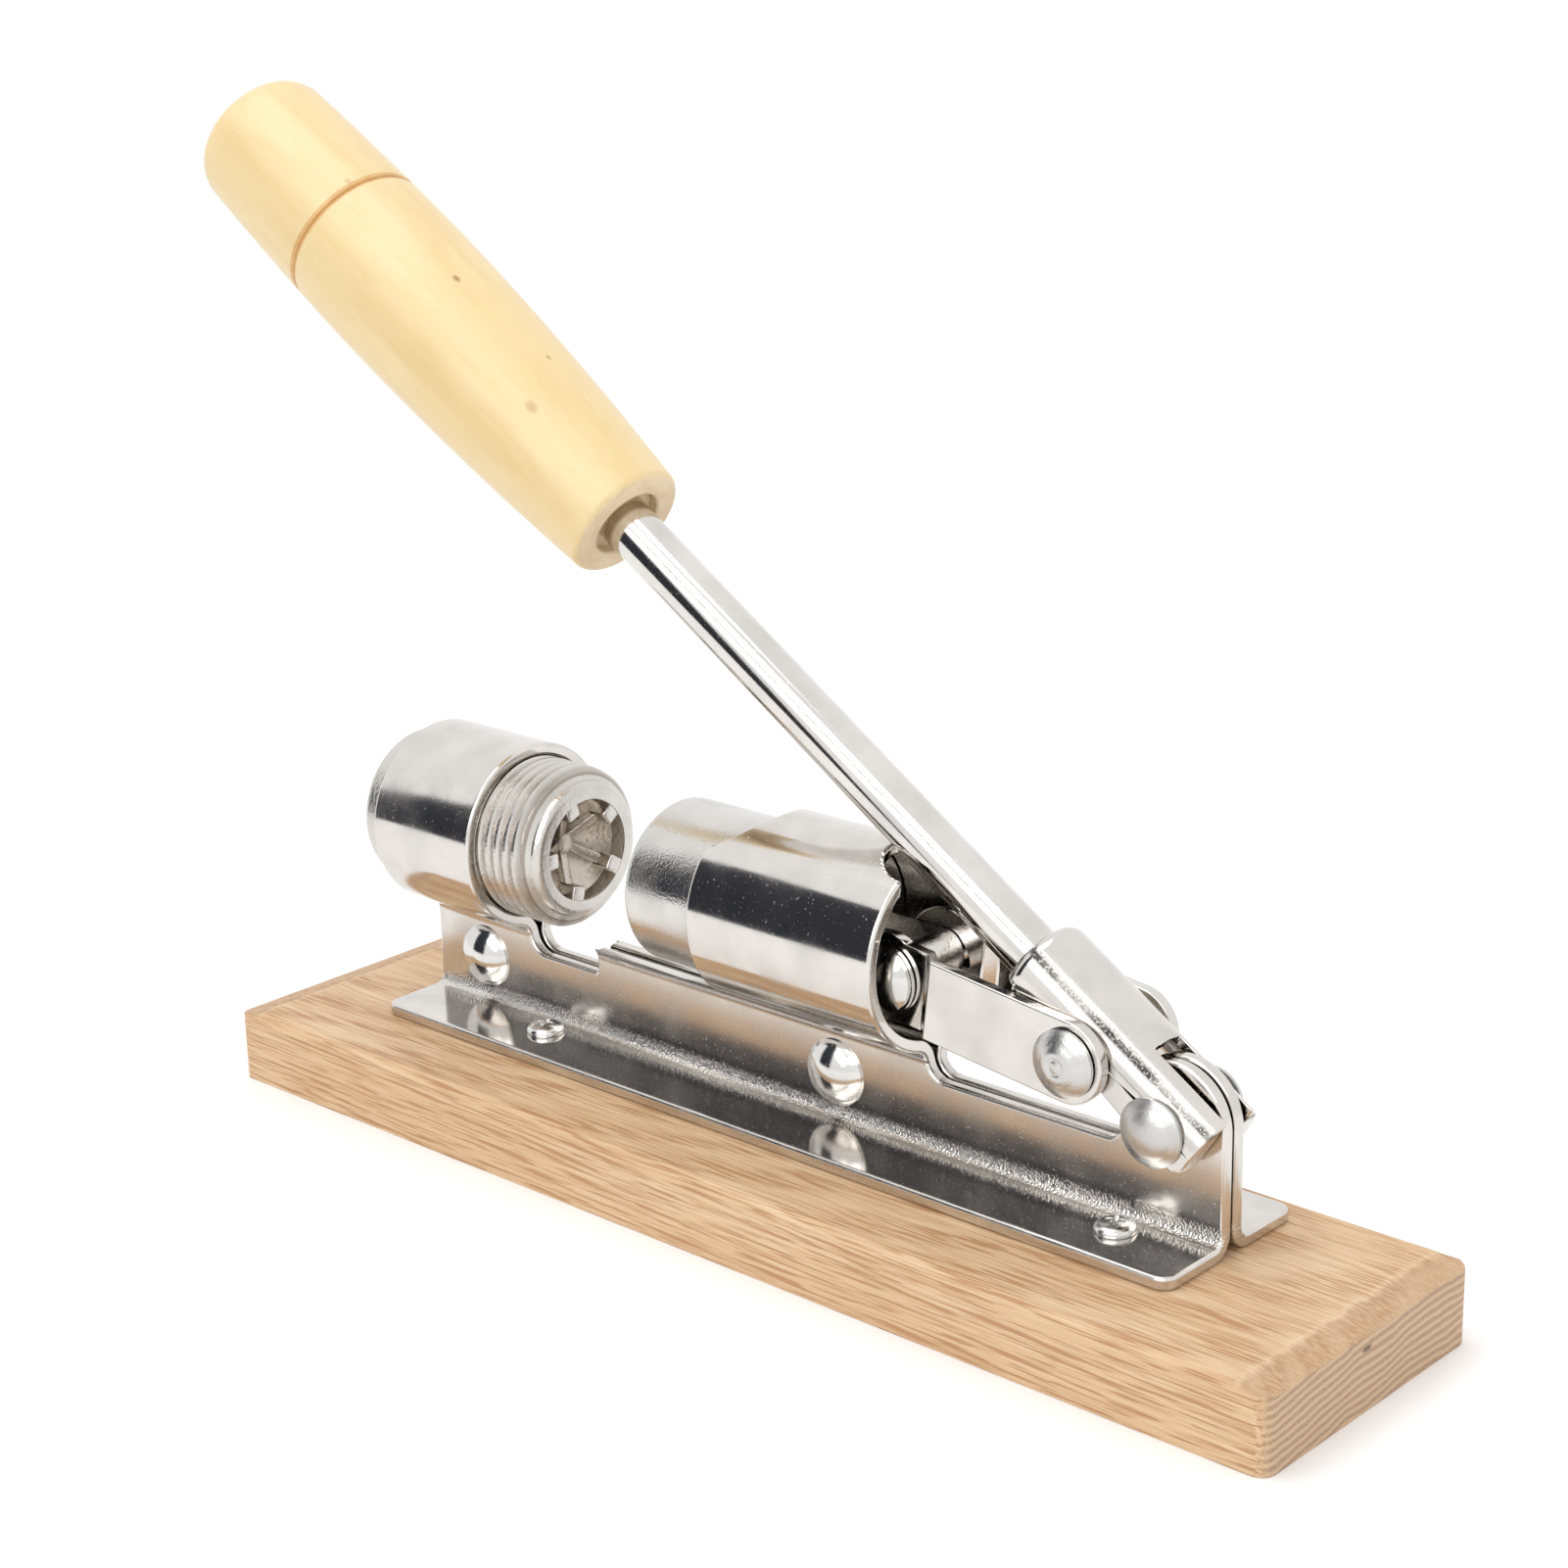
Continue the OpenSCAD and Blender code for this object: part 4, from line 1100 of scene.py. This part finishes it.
def dull_cup(obj, rim):
    """Gives the faces inside the cup at rim the second material."""
    inner_r = cup_r - 0.1 * mm
    rim_depth = 0.5 * mm
    for face in obj.data.polygons:
        from_rim = face.center - rim
        inside = math.hypot(from_rim.y, from_rim.z) < inner_r
        if inside and rim_depth < abs(from_rim.x) < cup_depth + mm:
            face.material_index = 1


ram = merged_copy("ram", "sliding_ram")
ram_rim = Vector((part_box("ram")[0].x, mid_y, tube_h))
set_cup(ram, ram_rim, Vector((-1, 0, 0)))
smooth(ram, 40)
place_piece(ram, "ram", "ram_steel", [ram_metal, cup_metal], "ram")
dull_cup(ram, ram_rim)

# %% [markdown]
# The anvil is a casting with a coarse thread. A sleeve is turned with many fine rings,
# and its points are moved in and out along a helix, which gives a true thread that runs
# out on the chamfer.

# %% Threaded sleeve of the anvil
thread_pitch = 2.5 * mm
thread_root_r = 14.7 * mm
thread_crest_r = 16.25 * mm
sleeve_r = 17 * mm
thread_start_x = gap_x - 4 * mm
thread_end_x = barrel_high.x - 1.7 * mm
thread_l = thread_end_x - thread_start_x
thread_rings = 118
thread_rounding = 0.55
tube_axis = Vector((0, mid_y, tube_h))
ring_xs = [thread_start_x + thread_l * i / thread_rings for i in range(thread_rings + 1)]
sleeve_low_x = barrel_low.x - cut_over
sleeve_high_x = barrel_high.x + cut_over
sleeve_line = [(sleeve_low_x, 0), (sleeve_low_x, sleeve_r), (thread_start_x - mm, sleeve_r)]
sleeve_line += [(x, sleeve_r) for x in ring_xs] + [(thread_end_x + mm / 10, sleeve_r)]
sleeve_line += [(sleeve_high_x, sleeve_r), (sleeve_high_x, 0)]
sleeve = turned("thread_sleeve", sleeve_line, tube_axis, Vector((1, 0, 0)), steps=144)


def thread_radius(x, angle):
    """Radius of the thread's surface: straight flanks between a rounded root and crest."""
    turn_share = (x / thread_pitch - angle / (2 * math.pi)) % 1
    flank = abs(2 * turn_share - 1)
    rounded = 0.5 - 0.5 * math.cos(math.pi * flank)
    share = thread_rounding * rounded + (1 - thread_rounding) * flank
    return thread_root_r + (thread_crest_r - thread_root_r) * share


for vertex in sleeve.data.vertices:
    x, y, z = vertex.co - tube_axis
    if thread_start_x - near < x < thread_end_x + near:
        radius = thread_radius(x, math.atan2(z, y))
        vertex.co = tube_axis + Vector((x, 0, 0)) + Vector((0, y, z)).normalized() * radius
print("The thread has", round(thread_l / thread_pitch, 1), "turns")

# %% [markdown]
# What the plain casting and the sleeve have in common is kept, so the thread is cut into
# the barrel and the chamfer into the thread. The ribbed cup is set in last, because the
# sleeve would fill it.

# %% Threaded anvil
anvil = merged_copy("anvil_barrel", "threaded_anvil")
anvil_rim = Vector((barrel_high.x, mid_y, tube_h))
cut(anvil, sleeve, "INTERSECT")
set_cup(anvil, anvil_rim, Vector((1, 0, 0)))
smooth(anvil, 40)
place_piece(anvil, "anvil", "cast_anvil", [cast_metal, cup_metal], "anvil_barrel")
dull_cup(anvil, anvil_rim)

# %% [markdown]
# The rod is a plain turned bar. It reaches from the yoke deep into the grip, so its line
# needs no more than a small chamfer at each end.

# %% Rod
rod_r = 5 * mm
rod_start = 14 * mm
rod_chamfer = 0.6 * mm
grip_start = 151 * mm
socket_l = 50 * mm
rod_l = grip_start + socket_l - rod_start
rod_line = [(0, 0), (0, rod_r - rod_chamfer), (rod_chamfer, rod_r),
            (rod_l - rod_chamfer, rod_r), (rod_l, rod_r - rod_chamfer), (rod_l, 0)]
rod = smooth(turned("bright_rod", rod_line, on_lever(rod_start, rod_lift), lever_way))
place_piece(rod, "lever", "nickel_rod", [rod_metal], "lever_rod")

# %% [markdown]
# The grip swells to a belly and thins towards both ends, with a groove that the turner
# cut and scorched, and a recess round the rod. Its line starts in the rod's socket, comes
# out round the near end and runs along the outside to the far one.

# %% Line of the grip
grip_l = 120.5 * mm
grip_r = 15.4 * mm
grip_belly = 71 * mm
near_taper = 3.5 * mm
far_taper = 1.4 * mm
taper_power = 1.8
groove_at = 85.5 * mm
groove_w = 0.95 * mm
groove_d = 0.6 * mm
socket_r = rod_r + 0.02 * mm
recess_r = 7 * mm
recess_d = 2 * mm
recess_edge = 0.3 * mm
near_round = 1.5 * mm
far_round = 4 * mm


def grip_radius(s):
    """Radius of the grip at a distance from its near end."""
    if s < grip_belly:
        return grip_r - near_taper * ((grip_belly - s) / grip_belly) ** taper_power
    return grip_r - far_taper * ((s - grip_belly) / (grip_l - grip_belly)) ** taper_power


def grip_side(start, end, steps):
    """Points of the grip's outside between two distances, from start to before end."""
    stops = [start + (end - start) * i / steps for i in range(steps)]
    return [(s, grip_radius(s)) for s in stops]


grip_line = [(socket_l, 0), (socket_l, socket_r), (recess_d, socket_r), (recess_d, recess_r),
             (recess_edge, recess_r), (0, recess_r + recess_edge)]
near_centre = (grip_radius(near_round) - near_round, near_round)
grip_line += [(s, r) for r, s in arc(near_centre, near_round, -90, 0, 8)]
grip_line += grip_side(near_round, groove_at, 26)[1:]
groove_rim = groove_at - groove_w
groove_end = groove_at + groove_w
groove_r = grip_radius(groove_at)
lip_w = 0.35 * groove_w
lip_r = groove_r - 0.25 * groove_d
grip_line += [(groove_rim, grip_radius(groove_rim)), (groove_at - lip_w, lip_r),
              (groove_at, groove_r - groove_d), (groove_at + lip_w, lip_r)]
far_start = grip_l - far_round
grip_line += grip_side(groove_end, far_start, 10) + [(far_start, grip_radius(far_start))]
far_centre = (grip_radius(grip_l) - far_round, far_start)
grip_line += [(s, r) for r, s in arc(far_centre, far_round, 10, 90, 8)]
grip_line += [(grip_l + 0.05 * mm, 0)]
print("The grip's line is drawn through", len(grip_line), "points")

# %% [markdown]
# The line is spun about the rod's axis. One piece of wood shows three surfaces, so its
# faces are sorted by their place along the grip: lacquered outside, scorched in the
# groove, and bare on the near end and in the recess.

# %% Grip
grip_foot = on_lever(grip_start, rod_lift)
grip = smooth(turned("turned_grip", grip_line, grip_foot, lever_way, steps=128), 40)
place_piece(grip, "lever", "grip_wood", [lacquered, scorched, bare_wood], "handle_grip")
scorched_index, bare_index = 1, 2
scorch_w = 0.7 * groove_w
bare_depth = 0.25 * mm
for face in grip.data.polygons:
    along_grip = (face.center - grip_foot).dot(lever_way)
    off_axis = (face.center - grip_foot - lever_way * along_grip).length
    in_recess = along_grip < recess_d + near and off_axis < recess_r + mm / 2
    on_near_face = along_grip < bare_depth or face.normal.dot(lever_way) < -0.95
    if abs(along_grip - groove_at) < scorch_w:
        face.material_index = scorched_index
    elif on_near_face or in_recess:
        face.material_index = bare_index

# %% [markdown]
# Rivets are turned too. Both heads and the shank are one line, so a rivet is one closed
# piece. The two big lever rivets were headed in a press, which left a flat top and, on
# the link rivet, a small ring in it. The clamp rivets and the ram pin have plain domes.

# %% Rivet helpers
shank_r = 3 * mm
dome_steps = 16
flat_set = 0.05 * mm
ring_depth = 0.14 * mm
ring_half_w = 0.35 * mm
ring_floor_half_w = 0.12 * mm


def head_line(radius, height, seat, rim, flat=0.0, ring=0.0):
    """Half of a rivet's profile, from its middle plane to the top of one head."""
    rise = height - rim
    ball_r = (radius ** 2 + rise ** 2) / (2 * rise)
    dome_edge = math.asin(radius / ball_r)
    top = seat + height
    line = [(0, shank_r), (seat, shank_r), (seat, radius), (seat + rim, radius)]
    for i in range(1, dome_steps):
        angle = dome_edge * (1 - i / dome_steps)
        if ball_r * math.sin(angle) < flat:
            break
        line.append((top - ball_r + ball_r * math.cos(angle), ball_r * math.sin(angle)))
    if flat:
        line.append((top - flat_set, flat * 0.8))
    if ring:
        line += [(top, ring + ring_half_w), (top - ring_depth, ring + ring_floor_half_w),
                 (top - ring_depth, ring - ring_floor_half_w), (top, ring - ring_half_w)]
    line.append((top, 0))
    return line


def rivet(name, centre, half_line):
    """A rivet across the press, with the same head on both sides."""
    line = [(-distance, r) for distance, r in reversed(half_line)] + half_line[1:]
    return smooth(turned(name, line, Vector(centre), across, steps=80), 40)


# %% [markdown]
# The clamp rivets sit on the walls of the body, and the ram pin sits on its washers. The
# seats are taken from those pieces, so the heads touch them without a gap.

# %% Domed rivets
wall_out = wall_y + half_t
dome_rim = 0.4 * mm
clamp_head_r = 6.5 * mm
clamp_head_h = 3.1 * mm
clamp_head = head_line(clamp_head_r, clamp_head_h, wall_out, dome_rim)
front_rivet = rivet("front_body_rivet", (front_clamp_x, mid_y, clamp_h), clamp_head)
place_piece(front_rivet, "frame", "rivet_steel", [rivet_metal], "front_clamp_rivet")
rear_rivet = rivet("rear_body_rivet", (rear_clamp_x, mid_y, clamp_h), clamp_head)
place_piece(rear_rivet, "frame", "rivet_steel", [rivet_metal], "rear_clamp_rivet")
ram_pin_low, ram_pin_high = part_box("ram_pin")
ram_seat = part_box("far_ram_washer")[1].y - mid_y
pin_head_r = 6 * mm
pin_head_h = 2.4 * mm
pin_head = head_line(pin_head_r, pin_head_h, ram_seat, dome_rim)
ram_pin = rivet("ram_pin_rivet", (ram_pin_low + ram_pin_high) / 2, pin_head)
place_piece(ram_pin, "ram", "rivet_steel", [rivet_metal], "ram_pin")

# %% [markdown]
# The link rivet and the pivot rivet share one size of head. Their seats are found from
# the outside of the CAD rivets, because those already reach over the links and the yoke.

# %% Headed rivets of the lever
press_head_r = 6.1 * mm
press_head_h = 2.6 * mm
press_rim = 0.6 * mm
link_flat_r = 3.4 * mm
link_ring_r = 1.3 * mm
pivot_flat_r = 4 * mm
link_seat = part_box("link_rivet")[1].y - mid_y - press_head_h
link_head = head_line(press_head_r, press_head_h, link_seat, press_rim, link_flat_r, link_ring_r)
link_rivet = rivet("headed_link_rivet", joints["link_swing"]["pos_m"], link_head)
place_piece(link_rivet, "lever", "dull_rivet", [dull_metal], "link_rivet")
pivot_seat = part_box("pivot_rivet")[1].y - mid_y - press_head_h
pivot_head = head_line(press_head_r, press_head_h, pivot_seat, press_rim, pivot_flat_r)
pivot_rivet = rivet("headed_pivot_rivet", pivot, pivot_head)
place_piece(pivot_rivet, "lever", "dull_rivet", [dull_metal], "pivot_rivet")

# %% [markdown]
# The board screws are small pan heads with a cross recess. The first one is turned, with
# a pointed shank in the wood and a head whose edge is rounded over.

# %% Board screw
screw_low, screw_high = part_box("near_front_screw")
screw_middle = (screw_low + screw_high) / 2
screw_place = Vector((screw_middle.x, screw_middle.y, ground))
screw_r = 1.9 * mm
screw_l = 9 * mm
head_r = 3.7 * mm
head_h = 2.1 * mm
head_side_h = 0.6 * mm
head_chamfer = 0.15 * mm
head_side = sheet_t + head_side_h
screw_line = [(-screw_l, 0), (screw_r - screw_l, screw_r), (sheet_t, screw_r),
              (sheet_t, head_r - head_chamfer), (sheet_t + head_chamfer, head_r),
              (head_side, head_r)]
for angle in range(10, 90, 10):
    over_edge = math.radians(angle)
    rounded_h = (head_h - head_side_h) * math.sin(over_edge)
    screw_line.append((head_side + rounded_h, head_r * math.cos(over_edge)))
screw_line.append((sheet_t + head_h, 0))
upright = Vector((0, 0, 1))
screw = turned("near_front_board_screw", screw_line, screw_place, upright, steps=64)
print("The screw's head is", round(2 * head_r / mm, 1), "mm wide")

# %% [markdown]
# The recess is cut by two bars that taper downwards, one across the other. The finished
# screw is then copied three times, and each copy has its own mesh.

# %% Recess and copies of the screw
recess_turn = 0.35
recess_size = (4.6 * mm, 0.95 * mm, 2.4 * mm)
recess_taper = 0.55
recess_top = screw_place + upright * (sheet_t + head_h)
recess_foot = recess_top - upright * recess_size[2] / 2
for angle in (recess_turn, recess_turn + math.pi / 2):
    bpy.ops.object.select_all(action="DESELECT")
    bpy.ops.mesh.primitive_cube_add(size=1, location=recess_top, scale=recess_size,
                                    rotation=(0, 0, angle))
    recess_bar = settle(bpy.context.object, "recess_cutter")
    bpy.ops.object.mode_set(mode="EDIT")
    pick(recess_bar, lambda p, _: p.z < recess_top.z - mm, "FACE")
    bpy.ops.transform.resize(value=(recess_taper, recess_taper, 1), center_override=recess_foot)
    bpy.ops.object.mode_set(mode="OBJECT")
    cut(screw, recess_bar)
round_edges(screw, 0.12 * mm, segments=2, angle=35)
twins = {"near_front_screw": screw}
for node in ("far_front_screw", "near_rear_screw", "far_rear_screw"):
    twin = bpy.data.objects.new(node.replace("_screw", "_board_screw"), screw.data.copy())
    scene.collection.objects.link(twin)
    node_low, node_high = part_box(node)
    twin.location = (node_low + node_high) / 2 - screw_middle
    twins[node] = settle(twin)
for node, twin in twins.items():
    place_piece(twin, "frame", "screw_steel", [screw_metal], node)

# %% [markdown]
